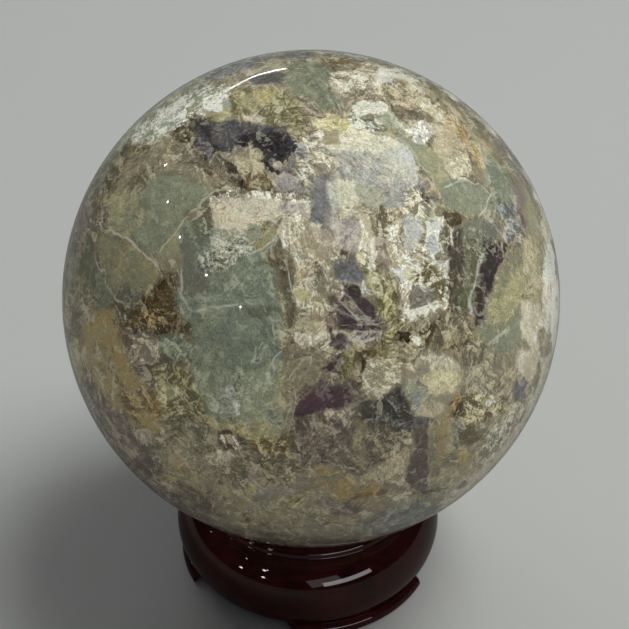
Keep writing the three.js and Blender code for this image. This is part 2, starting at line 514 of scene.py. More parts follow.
# %% The map of the ball
EYE_DISTANCE = CAMERA_DISTANCE / MM
DISC_RADIUS = BALL_RADIUS / MM
SIGHT_LINE = sqrt(EYE_DISTANCE**2 - DISC_RADIUS**2)
EDGE_ANGLE = np.arccos(DISC_RADIUS / EYE_DISTANCE)
SEAM_ANGLE, SEAM_WANDER = radians(97), radians(4)
FAR_SIDE_TURN = radians(140)


def turned_pair(right, up, angle):
    # Two directions of the map, both turned by one angle
    return right * cos(angle) + up * sin(angle), -right * sin(angle) + up * cos(angle)


map_middle = np.array(towards_camera)
level_right = np.array((1.0, 0.0, 0.0))
map_right, map_up = turned_pair(level_right, np.cross(map_middle, level_right), CAMERA_TIP)
from_middle = (ball_points - np.array(BALL_CENTRE)) / MM
outward = from_middle / np.linalg.norm(from_middle, axis=1)[:, None]
dice = np.random.default_rng(7)


def ripple(wavelength, waves=9):
    # A smooth random field over the ball, about one unit high, made of a few plane waves
    total = np.zeros(len(from_middle))
    for _ in range(waves):
        heading = dice.normal(size=3)
        heading *= 2 * pi / (wavelength * np.linalg.norm(heading) * dice.uniform(0.7, 1.4))
        total += np.sin(from_middle @ heading + dice.uniform(0, 2 * pi))
    return total / sqrt(waves / 2)


def on_map(middle, right, up):
    angle_off = np.arccos(np.clip(outward @ middle, -1, 1))
    seen = DISC_RADIUS * np.sin(angle_off) * SIGHT_LINE / (EYE_DISTANCE - DISC_RADIUS * np.cos(angle_off))
    reach = np.where(angle_off < EDGE_ANGLE, seen, DISC_RADIUS * (1 + angle_off - EDGE_ANGLE))
    across, above = outward @ right, outward @ up
    side = np.hypot(across, above) + 1e-9
    return reach * across / side, reach * above / side


def rippled(near, far):
    # One coordinate of the map, the far side's or the near side's, with the outlines bent a little
    return np.where(is_back, far, near) + 0.28 * ripple(6) + 0.12 * ripple(2.4, waves=14)


front = on_map(map_middle, map_right, map_up)
far_right, far_down = turned_pair(map_right, map_up, FAR_SIDE_TURN)
back = on_map(-map_middle, far_right, -far_down)
is_back = np.arccos(np.clip(outward @ map_middle, -1, 1)) + SEAM_WANDER * ripple(22) > SEAM_ANGLE
map_u = rippled(front[0], back[0])
map_v = rippled(front[1], back[1])
print("points on the far side:", int(is_back.sum()), "of", len(is_back))

# %% [markdown]
# Fluorite is named for its colours, and every one in this ball has its own place. The palette below
# gives each a plain name. They are the stone's own colours, as a painter would mix them, and not as the
# light makes them look.

# %% The stone's palette
STONE_COLOURS = {
    "frost": (238, 240, 228), "cream": (221, 219, 197), "pale_straw": (222, 217, 174),
    "butter": (208, 200, 144), "straw": (184, 174, 120), "milk": (206, 210, 198), "pearl": (190, 194, 190),
    "ice": (200, 206, 200), "steel": (166, 172, 168), "pale_sage": (182, 188, 162), "sage": (148, 154, 130),
    "grey_green": (126, 132, 114), "dark_sage": (96, 100, 80), "sea": (147, 157, 138),
    "pale_sea": (174, 185, 163), "deep_sea": (114, 124, 110), "olive": (156, 152, 116),
    "pale_olive": (188, 184, 142), "dark_olive": (104, 98, 66), "ochre": (166, 146, 92),
    "rust": (144, 114, 66), "brown": (110, 93, 60), "umber": (74, 64, 44), "pit": (34, 28, 20),
    "sand": (194, 185, 155), "beige": (177, 170, 141), "tan": (158, 150, 122), "taupe": (133, 127, 106),
    "dark_taupe": (99, 94, 77), "blush": (206, 197, 174), "rose_grey": (165, 155, 139),
    "mauve": (138, 127, 114), "plum": (97, 85, 77), "lilac": (186, 180, 172),
    "lavender_grey": (142, 139, 138), "violet": (102, 94, 96), "aubergine": (70, 57, 61),
    "vivid_purple": (90, 62, 82), "slate": (104, 104, 100), "blue_slate": (130, 133, 141),
    "dark_slate": (76, 72, 66), "ink": (56, 53, 52), "indigo": (60, 60, 68), "stone": (146, 144, 132),
    "smoke": (116, 114, 104),
}
print("stone colours:", len(STONE_COLOURS))

# %% [markdown]
# Each patch of mineral is an outline drawn on that map. A row of the tables below names a
# patch and gives its light tone, its dark tone, its habit, which is how the two tones mingle, the
# softness of its edge in millimetres and the slant of its streaks in degrees. After the colon come the
# spots of its outline, and an indented row goes on with the outline above it. Later patches lie over
# earlier ones. A habit is made of four shares: grain, feather, foil and broken crystal.

# %% Words for drawing the patches
HABITS = {
    "pane": (0.10, 0.30, 0.00, 0.35), "cloud": (0.08, 0.15, 0.05, 0.60), "grain": (0.50, 0.00, 0.30, 0.80),
    "foil": (0.20, 0.10, 0.70, 0.85), "feather": (0.20, 0.65, 0.10, 0.70), "clay": (0.15, 0.15, 0.15, 1.00),
    "frosty": (1.10, 0.00, 0.25, 0.50), "plain": (0.08, 0.10, 0.00, 0.10),
}
patches = {}


def table_rows(table):
    for row in table.strip().replace("\n  ", " ").split("\n"):
        words, outline = row.split(":")
        yield words.split(), [tuple(float(x) for x in spot.split(",")) for spot in outline.split()]


def draw_patches(table):
    for (name, light, dark, habit, softness, slant), spots in table_rows(table):
        patches[name] = (light, dark, habit, float(softness), float(slant)), spots


print("habits:", list(HABITS))

# %% [markdown]
# The left side is clay and sage panes: a pocket of brown crystals in the middle, ochre below it, and
# mauve and beige blades down to the ball's foot.

# %% Patches of the left side
draw_patches("""
left_ground tan dark_taupe clay 1.0 60: -70,40 -40,30 -26,30 -16,20 -10,0 -10,-30 -20,-50 -60,-60 -80,0
left_rim tan dark_taupe feather 0.8 85: -70,22 -45.5,22 -44.6,14 -45.8,6 -46.2,-4 -45.6,-13 -44.2,-20
  -41,-27 -60,-46 -75,0
left_rim_green dark_sage dark_olive feather 0.8 88: -45.6,13 -43.9,13 -43.4,9 -44.6,4 -45.6,0 -46.4,4
lower_left_ochre tan ochre clay 1.5 70: -46,-4 -42.4,-1 -39.5,-2 -38.4,-7 -37.4,-10 -36.5,-13 -33.5,-16
  -31,-19 -29.6,-22 -29.4,-25 -31.2,-28 -34,-27.4 -36.4,-25 -38.6,-22.4 -41.4,-20 -44.2,-16 -46.2,-10
ochre_shade ochre brown clay 0.8 70: -35,-18 -32,-18 -30,-21 -30.5,-25 -32,-24 -34,-22
ochre_light ochre brown clay 0.8 60: -38,-17 -34,-18 -33,-22 -35,-25 -37.5,-23 -40,-19
left_dark_wedge grey_green dark_sage pane 1.2 80: -45,12 -43,9 -41.4,4.5 -39.8,0.5 -41,-2 -43.4,-1.5 -44.6,3
lower_pane olive grey_green pane 1.0 30: -43,12.5 -40,13 -36,10.8 -33,8 -30.4,6.4 -31,4 -33,2 -34.6,0
  -36.4,-2 -39.5,1 -41,5 -42.4,9
lower_pane_dusk smoke dark_sage feather 1.6 50: -39.6,2.5 -37,3 -34,1.5 -34.6,0 -36.4,-2 -39,0.4
upper_pane sage grey_green pane 1.6 40: -40,13.8 -36,12.2 -33,9.5 -31,7.6 -30,10 -28,13 -25.6,16.5
  -22.3,19.2 -19.2,21.2 -21,23 -26,25 -33,24 -35.2,22 -33,18 -33.4,15
upper_pane_glow sage grey_green pane 1.7 40: -34.5,15.5 -31,16 -28.4,14.4 -30,10 -31.4,8.4 -33.4,10.6
upper_pane_shade sage grey_green pane 1.7 40: -30,22 -26,23 -22,21 -26,17.5 -29,17.5
yellow_flank pale_olive grey_green pane 1.7 60: -41.5,21 -36,22.2 -33.4,18 -33.4,15 -36.5,13 -41.5,14.2
taupe_shoulder tan taupe clay 1.5 45: -36.5,30 -30,31 -26,29.5 -22,28.4 -18,26 -16,23.6 -19.6,22 -26.6,25.2
  -34,24.7 -41.5,18.6
strip_beside_pane sage olive feather 1.0 60: -30.2,10 -27.4,14.2 -24.4,17 -22.6,15.4 -26,10.6 -26.6,6
  -30.4,5.6
ochre_chip tan taupe clay 1.4 20: -29.6,9 -26.8,9.3 -26.2,6.4 -29,5.8
brown_pocket_edge taupe umber foil 0.7 30: -38.6,-2.4 -35,-1 -33.4,1 -31.6,3 -30,4.6 -27.8,4.4 -26.6,1
  -26,-2 -23.6,-4 -23,-6 -27.4,-7 -30,-8 -33,-7.6 -36,-7 -39,-7
brown_pocket brown umber grain 0.5 30: -35,-1.8 -32.6,0.4 -31,2.4 -29.8,3.8 -28.4,2.8 -27.6,0.6 -27.4,-2
  -27,-4 -29,-5.6 -31,-6.3 -34,-6.4 -37,-5.8 -37.4,-3
pocket_ochre ochre umber foil 0.4 20: -33.6,-3 -31,-2.2 -29.6,-3.6 -28.4,-5.4 -31,-6.1 -35,-6 -36.2,-4.8
mauve_spot blush mauve clay 0.5 60: -37.8,-7.2 -34,-6.9 -30.4,-7.6 -30.2,-10 -31.4,-12.6 -33,-14 -35,-13.4
  -37,-12
mauve_spot_shade mauve plum feather 0.6 70: -38,-7.2 -35.6,-7.2 -35.8,-10 -36.6,-12.4 -37.8,-10
plum_fold mauve plum clay 0.5 60: -34.2,-13.4 -32,-13.2 -31.2,-16 -31.8,-19.4 -33.4,-18.4 -34.2,-15.4
grey_green_crystals pale_sea deep_sea frosty 0.5 40: -30.2,-8 -27.4,-7.2 -24.6,-7.6 -23.6,-10 -24.8,-12
  -28,-12.2 -30,-10.6
yellow_green_slope pale_olive dark_olive clay 0.7 40: -31.4,-14 -28,-12.8 -24.4,-14.6 -22,-17.5 -20,-22
  -21.8,-24.6 -25,-23.6 -29.4,-23.2 -30.4,-20 -31.2,-17
slope_light pale_straw olive grain 0.6 40: -30.6,-17.5 -27,-17 -26,-19 -28.6,-20.4 -30.6,-19.6
grey_boulder tan dark_sage feather 0.5 10: -29.6,-24 -26,-23.8 -22.5,-24.2 -21.4,-26.4 -23,-28 -26.4,-28.2
  -29,-27.6 -30,-26
blush_chip blush rose_grey cloud 0.4 20: -35.2,-26.6 -33,-25.6 -31.4,-27 -31.8,-28.4 -34,-28.4
mauve_skirt rose_grey plum feather 0.7 130: -44.6,-16 -41.4,-20.4 -38.4,-22.8 -36,-26.5 -34,-28.6 -31.4,-30
  -30,-33 -29,-36 -27,-38 -22,-39.4 -17,-41.4 -24,-60 -60,-50 -60,-24
skirt_dark mauve plum cloud 0.6 130: -41,-22.4 -37.8,-22.6 -36.8,-26 -34.4,-28.2 -32,-29.6 -34,-31 -38,-29
  -40,-25.4
beige_blades tan taupe foil 0.7 60: -31,-30 -28,-28.6 -23,-28.6 -20,-26.6 -19,-30 -17,-33 -13.6,-36
  -16.6,-39.6 -21,-38.2 -26,-37.2 -29.6,-36 -31,-33
blade_shade taupe plum clay 0.7 50: -33,-31.4 -31,-32.4 -29,-34 -29.6,-36 -33,-35.8 -35,-33
yellow_blades straw taupe feather 0.7 60: -27.6,-33.4 -24,-33 -22,-35 -24,-37 -28,-36.6 -28.4,-35
low_grey_band taupe plum feather 0.8 160: -27.6,-38 -22,-38.4 -17,-40 -16,-42.2 -22,-44 -29,-42
mauve_wing cream tan feather 0.6 165: -21.4,-30.6 -17,-30.4 -13,-31 -9,-32 -9.6,-33.6 -14,-34.2 -18,-33.8
  -22,-33
wing_mauve rose_grey mauve cloud 0.6 80: -20,-26.2 -18,-26.2 -17.4,-29 -19.4,-30 -21,-28.2
""")
print("patches so far:", len(patches))

# %% [markdown]
# Beside them lies the calm part of the stone, one sea-green field that is cloudy and nearly flat, with
# a frosty top and a yellow lower edge. A small white chip near its foot is a painted glint.

# %% Patches of the sea-green field
# The white chip near the field's foot is a painted glint
draw_patches("""
sea_field sea deep_sea cloud 0.8 45: -26.6,14 -24,15.4 -20,14 -16,15 -11,13 -9,8 -7,3.4 -5.2,0 -4.4,-4
  -4.2,-9.6 -5.4,-12 -6,-15 -5.6,-20 -5.6,-26 -10,-27.4 -14,-26.4 -18,-25 -21,-24 -22,-20 -24,-17 -24,-13
  -23.6,-8 -24,-5 -26.6,-1.6 -26.8,3 -26,8
sea_slate_corner deep_sea smoke cloud 0.8 60: -26.4,12.6 -22.6,13.4 -21,9 -20.4,5 -21,2 -22.5,0.6 -26,0.4
  -26.4,5
sea_middle sea deep_sea pane 0.9 60: -21,-2.4 -14,-2.4 -10.2,-4 -10.4,-8 -11.6,-10.4 -13.6,-13.4 -18,-13.4
  -22,-11.4 -23.4,-8 -22,-4
sea_top sea deep_sea cloud 1.2 20: -20,4.4 -15,6 -11,6.4 -8.4,4 -6.6,0.4 -8,-1 -14,-1.4 -20,-1.2
sea_dark_streak deep_sea dark_sage cloud 0.8 170: -13,-1.8 -9.4,-1 -5.6,-1.2 -5,-3 -9,-3.8 -13,-3.2
sea_wedge sea deep_sea feather 1.2 70: -10,-4 -7,-3.6 -4.8,-4.4 -4.4,-9 -5.2,-11.4 -8,-13 -10.4,-13
  -11.6,-12 -10.4,-8
sea_low pale_sea sage grain 0.9 50: -24,-14 -18,-14.5 -12,-14.6 -8,-13.6 -7.6,-20 -9,-25 -14,-25.6 -20,-22.6
  -23,-18
sea_low_shadow sea grey_green cloud 0.9 50: -20,-13.6 -15,-13.4 -15.2,-17 -19,-19 -21.4,-16
sea_low_grey pearl sage frosty 0.8 50: -18.6,-18 -16,-17 -14.4,-20 -15,-24 -19,-22.4
edge_band pale_olive sage feather 0.6 85: -8,-12.4 -5.6,-12 -4.8,-16 -5,-21 -5.6,-25.6 -7.6,-23 -8,-17
low_yellow_band pale_olive olive clay 0.8 20: -22,-23.6 -17,-24.4 -12,-24 -6,-24.6 -6,-27.6 -11,-28 -15,-26
  -20,-26
frost_field milk dark_sage frosty 0.6 40: -20,15.4 -17,16.8 -13,15.4 -10.6,12 -11,9.4 -14,8.2 -15.6,6.6
  -17.6,6 -20,4.8 -21.8,6.5 -22.4,8.8 -20.4,10.5 -20.4,12.6
frost_bright milk sage frosty 0.6 40: -20,15.4 -16.4,17 -12.6,15 -13.4,12.2 -16.6,10.4 -20.2,9.6 -20,12
frost_shadow grey_green dark_sage clay 0.5 45: -23.4,16.2 -20.4,16 -19.8,13.4 -20.8,11.8 -23,12.4 -24.2,14
white_fleck frost pearl foil 0.4 140: -16.1,-20.3 -14.4,-21.2 -13.8,-22.8 -15.2,-22.9 -16.2,-21.4
white_chip_ground dark_taupe umber grain 0.5 120: -18.4,-26.2 -15,-25.9 -13.6,-27 -14.4,-29.4 -16,-30.6
  -18,-29
white_chip frost sand foil 0.25 130: -17.7,-27.1 -16.4,-26.8 -15.4,-28 -13.9,-29.7 -15,-30.3 -16.9,-28.9
""")
print("patches so far:", len(patches))

# %% [markdown]
# The crown is the busiest part: a sparkling band, gold grains, an indigo band with dark hollows, and a
# pale grey lens with a cream rim.

# %% Patches of the crown
draw_patches("""
crown_ground beige taupe clay 1.0 10: -50,28 -30,30 -12,20 10,14 30,14 50,24 60,60 0,80 -60,60
crown_rim milk stone feather 0.8 5: -24,43.4 -14,47.4 -6,49 0,49.3 8,48.8 16,46.8 24,43.8 24,60 0,70 -24,60
crown_left_olive pale_sage sage cloud 0.8 40: -42,26 -36,32.4 -30,39 -22,43.2 -14,46 -14,60 -60,50 -50,24
crown_left_dark olive dark_taupe feather 0.6 55: -45,21.4 -41,28.4 -36.6,32.6 -35.4,30.4 -39,26 -42,22
  -44,18
sparkle_band frost sage foil 0.5 40: -36,32 -33,36 -30,38.6 -26,41 -22,42.9 -14.4,42.4 -18.4,36 -20,36
  -23,37.4 -25,35.6 -28,33.2 -31,31.6 -35.4,31
sparkle_teal pale_sea sea cloud 0.5 30: -30.4,35 -29,36.6 -27,36.2 -27.6,34.6
sparkle_white_a frost milk foil 0.4 40: -30,36.4 -28.2,38.4 -26,39.4 -26,38 -28,36.4
crown_dark_band steel smoke feather 0.8 25: -20,43.6 -14,46 -8,48 0,48.4 0,49.6 -9,49.2 -17,47.2 -22,44.6
tan_chip beige tan cloud 0.4 60: -28,33 -23.5,34.1 -23.4,30.6 -26,29.6
slate_lens slate dark_slate cloud 0.5 10: -12.5,44.6 -8,46 -5,46 -5.5,43 -8,42.2 -12.4,43
sage_crystal sage dark_sage pane 0.5 40: -6,44 -3,47.4 6,47.6 7.2,45 3.8,42 6.6,38.4 2.4,38 -2.8,41
crown_brown_band taupe brown feather 0.6 170: 1,47.9 7,47.3 12,46.6 13.4,45.4 7,46.2 2,47
yellow_ledge pale_straw straw grain 0.5 170: 0,36.2 3,37.6 8.4,36.6 9.6,34.2 4,33.4 0.6,33.6
brown_fold beige brown feather 0.4 120: -1.4,38.8 0.4,38.4 2.4,36.8 1.4,36 -0.8,37.4
middle_ground beige taupe foil 0.8 60: -6,14 6,20 12,18 28,16 28,-4 20,-12 10,-12 8,-22 -4,-24 -6,-10
crown_beige cream tan clay 0.6 165: 4,45 8,46.2 13,47.2 18,46.2 22.6,43.6 26,41 25,40 21.6,42 18,42.8
  14,42.2 10,42 5,41.6 3.6,43
crown_cream frost cream clay 1.0 165: 12.4,46.6 18,46 21.6,43.6 18,42.6 13,42.4
zigzag_peak taupe umber clay 0.3 60: -29,32.8 -26,35.2 -23.2,37.7 -20.4,35.7 -21,33.6 -23.4,33 -25,31
white_peak frost frost foil 0.3 50: -23,38.4 -22.4,38.9 -20,40.6 -17.6,41.6 -18.1,40 -18.6,37.8 -20,38
  -21.6,37.8
sage_spot pale_sage sage pane 0.3 60: -18.4,39.2 -16.4,39.8 -15.8,38 -17.2,37.5 -18.5,37.9
gold_field olive dark_olive foil 0.5 20: -16,41.8 -12,42.2 -6,41.9 -3.4,40.2 -1.6,38.2 -1,35.6 -3.6,34
  -6,34.1 -9,34.9 -12,35.4 -14.6,36.8 -16.4,38
gold_left straw olive clay 0.4 20: -21.2,37.9 -17,38.2 -14.8,37.2 -15.6,36 -19.6,35.3 -21,36.3
gold_light straw olive foil 0.4 30: -14.8,41.2 -12,41.4 -8,42 -6,41.4 -8.4,40 -11,38.7 -13,38.4 -14.8,39.2
gold_dark olive dark_olive clay 0.5 170: -9,38.4 -4.6,38.9 -2.2,37.6 -3.4,36.4 -7,36.6 -9.4,37.2
mauve_white_spot blush lilac grain 0.5 30: -13.6,37 -11.6,37.4 -9.8,36.6 -10.4,35.4 -12.8,35.6
slate_shoulder taupe dark_taupe clay 0.7 60: -25.6,30.4 -21.4,29 -18,29.2 -14.4,27 -14.4,22.4 -18.2,22.2
  -21,26.2 -25,27.4
indigo_band indigo ink cloud 0.8 170: -23.2,37.2 -20.4,35.6 -19.6,35.3 -17,35.7 -14,35 -12,34.5 -9,34.3
  -5.6,34.1 -4.4,33 -2.6,31.3 -4.2,29.4 -5.6,27.4 -7,25.4 -9.2,25.6 -9.6,28 -10.4,30.4 -12,31.3 -13.4,30.8
  -14.6,31.4 -16,29.6 -18,29.5 -19.6,28.2 -21.4,27.8 -21.8,29.6 -24,30 -23.3,31.8 -23.5,35
green_dusk slate indigo pane 1.1 170: -19.8,35 -16.6,35.4 -12.4,34.6 -9,34.4 -5.4,34.1 -6,33 -10,33.2
  -14,33.2 -14.8,31.6 -16,29.9 -18.4,29.8 -19.8,31.6
purple_pane violet indigo pane 0.8 140: -23.2,34.6 -21.8,34.6 -20.4,33.2 -20.2,31.4 -19.2,30.2 -21,29.4
  -23.8,30.2 -23.1,32
indigo_deep indigo pit cloud 0.5 160: -12,33.4 -9,33.2 -5.2,32.2 -3.6,30.9 -6,28.9 -9,29.6 -10.4,31.2
  -12,31.8
dark_notch ink pit cloud 0.4 150: -14.9,33 -12.8,33 -11,32.2 -12.3,31.1 -13.4,30.7 -13.8,31.8
dark_hollow aubergine pit cloud 0.4 100: -9.6,28.2 -8,27.8 -7.7,26 -8.6,25.7 -9.3,26.2
slate_flap steel smoke pane 0.3 120: -14.9,32 -13.7,31 -13.2,29.8 -14.4,29.5 -15.4,30.6
grey_crystal_chip beige taupe foil 0.3 30: -13.2,30.9 -12,31.3 -10.5,30.6 -10.2,29.2 -10.2,28.2 -12,28.7
  -13.7,29.5
white_chip_left lilac stone foil 0.3 30: -18.2,29.3 -16.8,29.6 -16.5,28.2 -18.1,28.3
white_nugget stone slate foil 0.3 30: -8.4,28.2 -7.6,28.5 -6.7,28 -6.9,27.3 -6.2,26.7 -7.4,26.5 -8,27.1
tan_feather sand tan feather 0.4 150: -17.6,28.2 -15.6,28.9 -13.4,29.3 -12,28.4 -10.4,27 -9.2,25 -8.8,23.2
  -11,23 -14,25 -16.4,26.9
rust_gap tan brown clay 0.5 70: -13.2,25 -10.4,25.2 -8.2,24.4 -7.8,21.8 -12.8,21.8
shadow_gully dark_taupe pit feather 0.4 125: -18,26.4 -16.8,27.5 -15.2,26.4 -13.8,25 -13,22.4 -14.4,22
  -15.4,23.2 -16.8,24.9
blue_grey_chip stone slate pane 0.3 45: -7.6,24.6 -6,26.8 -4.4,29.2 -2.4,31 -0.6,30.8 -1.4,29 -3.1,28
  -4,26.4 -3.6,25.2
slate_pane lilac lavender_grey pane 0.3 150: -7.8,24.9 -5.4,25.8 -2.6,24.2 0,22.3 -0.3,21.3 -4,21.8 -7.8,22
slate_pane_dark stone slate feather 0.3 165: -7.2,22.9 -4.6,22.5 -4,21.9 -7.8,21.8
fan_ledge frost taupe foil 0.3 0: -20,19.6 -16,21.8 -14,21.5 -9,21.9 -4,21.7 0,21.3 0.3,19.6 -8,19.9
  -15,20.3 -18,19.2
fan_body cream blush feather 0.4 25: -20,19.4 -14.6,20.5 -8,20.1 0.2,19.8 0.2,17.6 -2,16.4 -7,15 -12,14
  -20,14.4
fan_lilac lilac lavender_grey feather 0.4 20: -6.2,19.6 -1,19.7 -1.6,18 -4,17 -6.4,17.4
fan_rays frost beige feather 0.4 58: -7.2,13.6 -3.4,17 -0.1,17.9 -0.3,15.6 -1.6,13.8 -3.6,11.4 -5.6,10.4
  -6.4,11.8
lens_rim cream pale_sage cloud 0.2 165: 1.4,32.2 3,33.2 8,33.9 12,33.5 14,32.9 18,30.8 20,29.4 21.6,27.8
  23,26 24.4,23.8 25.6,21.6 26.2,19.6 26.3,17 24,16.4 20,20 12,20 8,26 3.6,29.4
lens_rim_yellow cream sand grain 0.5 160: 6,33.6 8,33.9 11,33.4 12,31.8 8,31 6,31.3
rim_root tan beige grain 0.8 160: 1.6,33.4 5.6,33.8 5.8,31 3,30.6 1.4,31.6
lens_body pearl smoke pane 0.6 150: 4,29.2 9,29.6 14,29.3 18.6,29.4 21,27.8 23,24.4 23.4,21.4 19,22 17.9,18
  14,18.4 12.4,17.4 10.4,17.6 8.9,19 8.8,24 5,24.4 5.2,27
lens_light milk stone pane 1.6 120: 11.6,29 16,29.2 18.8,29.2 20.8,27.6 22.2,24.6 22,22.4 19,22.4 18,23
  15,23.2 12.6,25.6 10.6,27.4
lens_glow milk pearl pane 1.6 120: 16,29.4 19,29.6 21,28 22.6,25.6 20,25.4 17.6,27
lens_shadow pale_sage stone pane 1.2 150: 9,23.4 11,23.9 13.4,22 15.2,21 14.6,19 11.6,18.2 9.2,19.4
lens_smoke steel stone cloud 1.0 70: 14.4,21.2 16,22.2 18,21.6 18.2,18.2 15,18.4
slate_hair pearl slate feather 0.3 0: -3.2,30.8 -1.4,31.2 0.2,30.2 0.6,28.7 -1.6,28.7 -3,28.4
white_chunk cream stone foil 0.3 60: -2,32 0.4,33.2 2.6,33.4 2.2,31.4 3.6,29.2 5,27.6 5.3,26.4 3.8,25 2,24.4
  1.8,26.2 0.8,27.6 1.2,29 -0.4,30.4
crumb_cluster milk taupe foil 0.3 60: -4.2,26.2 -2.9,27.6 -1,28.8 0.9,28.2 1.4,26.6 0,25.2 -1.2,23.8
  -2.6,24.1 -3,25.2
blue_stripe blue_slate slate pane 0.6 88: 0.2,22.4 0,24.4 1.6,25.2 3.9,24.5 4,18 4.6,14 2.4,13.9 1.6,13.4
  -0.3,14.6 0.3,17 0.3,20
blue_stripe_pale stone lavender_grey feather 0.5 88: 2.4,18.4 4,19 5.6,15.6 5.4,13 4,13.6 2.6,14.4
sage_stripe_left milk stone pane 1.4 88: 3.7,24.4 5.2,24.3 5.2,20 5.5,15 4.3,14.4 3.8,18
cream_stripe cream pale_sage pane 0.5 88: 4.8,24.2 8.8,24 9.1,20 8.8,17.8 5.6,18 4.8,20
cream_crumbs cream beige grain 0.5 60: 5.4,18.3 9,18.8 12,17.4 12.3,15.6 9,15.4 5.8,16.2
brown_crumbs sand dark_taupe foil 0.4 60: 12.6,17.2 14,19.2 15.6,18.6 18.1,18.4 18.2,14 18,12.4 16,12
  14.4,12.4 12.9,12.8 12.5,15.4
crumb_hollow dark_taupe umber plain 0.3 60: 12.5,16 13.6,16 13.2,14.6 12.6,14.8
""")
print("patches so far:", len(patches))

# %% [markdown]
# To the right of the lens, arcs of olive and sage run along the edge, with cream chunks between them.

# %% Patches of the upper right
draw_patches("""
right_ground tan taupe clay 0.9 110: 24,46 34,40 44,26 60,40 80,0 60,-50 20,-60 28,-20 28,10 20,30
right_sage_band sage grey_green feather 0.6 120: 34,29 38,27.4 40.4,24 41,19 38,16.6 35.4,19 35.8,22 34,26
right_slate stone smoke feather 0.7 125: 36,31 38.4,31.4 42.6,26 42,23.4 39.6,27
right_mauve lavender_grey mauve feather 0.6 115: 40.4,23.4 42.4,22.4 43.8,18 43.6,13.6 41.2,13 40.8,18
right_olive_rim sage olive feather 0.6 110: 42.6,23 45,18 46.4,13 45.4,8 44,4 43.6,10 43.8,16
upper_right_rim frost cream feather 0.8 130: 24,43.8 32,38.2 38,32.6 42.6,26.4 46,18 47.6,12 60,20 50,50
  24,60
arc_olive olive sage cloud 0.4 130: 13.8,34.4 16,34.8 18,33.6 20,31.8 23,30.8 25,30 26.4,28.6 27.6,26.2
  28.8,24 31,22.8 33,20 31,17.4 28,17.6 26.2,18 26.2,20 24.8,23.6 22.4,26.8 20,29.4 18,30.9 14,32.9
arc_shade olive dark_sage cloud 0.5 130: 14.2,34.2 16.6,34.2 18.4,32.4 17.4,31.6 14.4,32.8
arc_low_shade sage grey_green cloud 0.6 120: 26.2,22.6 27.2,24.2 28.8,23.4 29.6,20 29,17.8 26.4,18
sage_granules milk dark_sage grain 0.4 145: 8.2,38 9.8,36.6 12,36 14.8,34.6 14,33.5 11,33.9 8.8,34.7
  7.8,36.4
sage_drift pale_sage sage cloud 0.5 150: 12.8,37.6 16,37.6 19.8,36 19.9,34 17.6,33.6 15,34.4 13.4,35.6
pale_tablet frost pale_sage pane 0.4 10: 8.4,38.4 11,39.6 14,39.4 15.2,38.4 13.8,36.8 10.4,36.6 8.9,37.4
taupe_fold taupe dark_taupe feather 0.4 165: 14,39.9 16.4,39.2 18.6,39.4 19.4,38.1 21.6,37.9 22.4,36.8 24,36
  20.4,35.7 18,36.5 15,37.8
white_pink_chunk frost lilac foil 0.3 60: 18.4,35.8 20.8,34.8 22.4,35.7 24.3,34.6 24.6,32.8 23.2,32
  21.8,30.9 20.4,31.6 19.8,33.8
tan_shoulder sand beige clay 0.4 130: 24.4,35 27.4,34.8 29.4,33.4 31,30 31.2,27.6 30,24.4 28.4,23.8 27,26.6
  26.2,28.8 24.4,30.8 24.7,32.8
shoulder_blush cream beige clay 0.4 120: 28,29.6 30,29 31.4,27.4 31,25 29,25 27.6,27
shoulder_cream cream sand grain 0.4 120: 28,25 31,24.6 32.6,23 31,22.2 28.8,23.4
cream_streak cream sand foil 0.3 125: 21.4,40.8 23,40.6 25.6,38.7 25.8,37.4 27.7,34.7 26.6,34.1 24.2,36
  22.3,38.6
taupe_rim beige olive feather 0.6 130: 22,43 26,40.6 30,37.4 33,34 36,30 35,27.6 32.6,31.4 30,35.4 27,38
  24,40.4
gold_sparkle sand taupe foil 0.4 10: 10,41.9 14,42.1 15.4,43.2 18,44 20,42.6 21.9,41 21.6,39.4 20,38.1
  18.6,39.3 17,39 15,40.3 12,40.3 10,40.3
gold_chain sand ochre foil 0.3 130: 25.8,38.2 28,37.2 29.6,35.6 31,33.6 32.2,31.6 34,29 35,26.4 33.2,26.6
  31.6,29.4 30.2,32.2 28.6,34 26.8,35.2 25.7,36.8
green_finger sage grey_green pane 0.3 120: 27.4,23.6 29,24.2 31.6,24.4 34.4,23 35.8,20.8 35.2,18.4 33,16.9
  30.8,16.8 28.8,17.9 27.4,19.6
finger_shadow dark_taupe umber cloud 0.9 150: 26.2,18.6 28.6,17.6 31.4,16.5 30.8,14.6 28.3,14.1 26.9,15.4
granular_gold cream taupe foil 0.3 60: 18.2,21.6 20.4,22.2 21.9,22.4 23.8,20.4 24.1,18.4 24.2,16.6 18.1,16.8
  18.3,20
granular_dark brown pit clay 0.3 60: 22,21.6 23.6,21.5 24.3,20.4 23.2,19.8 22.2,20.4
""")
print("patches so far:", len(patches))
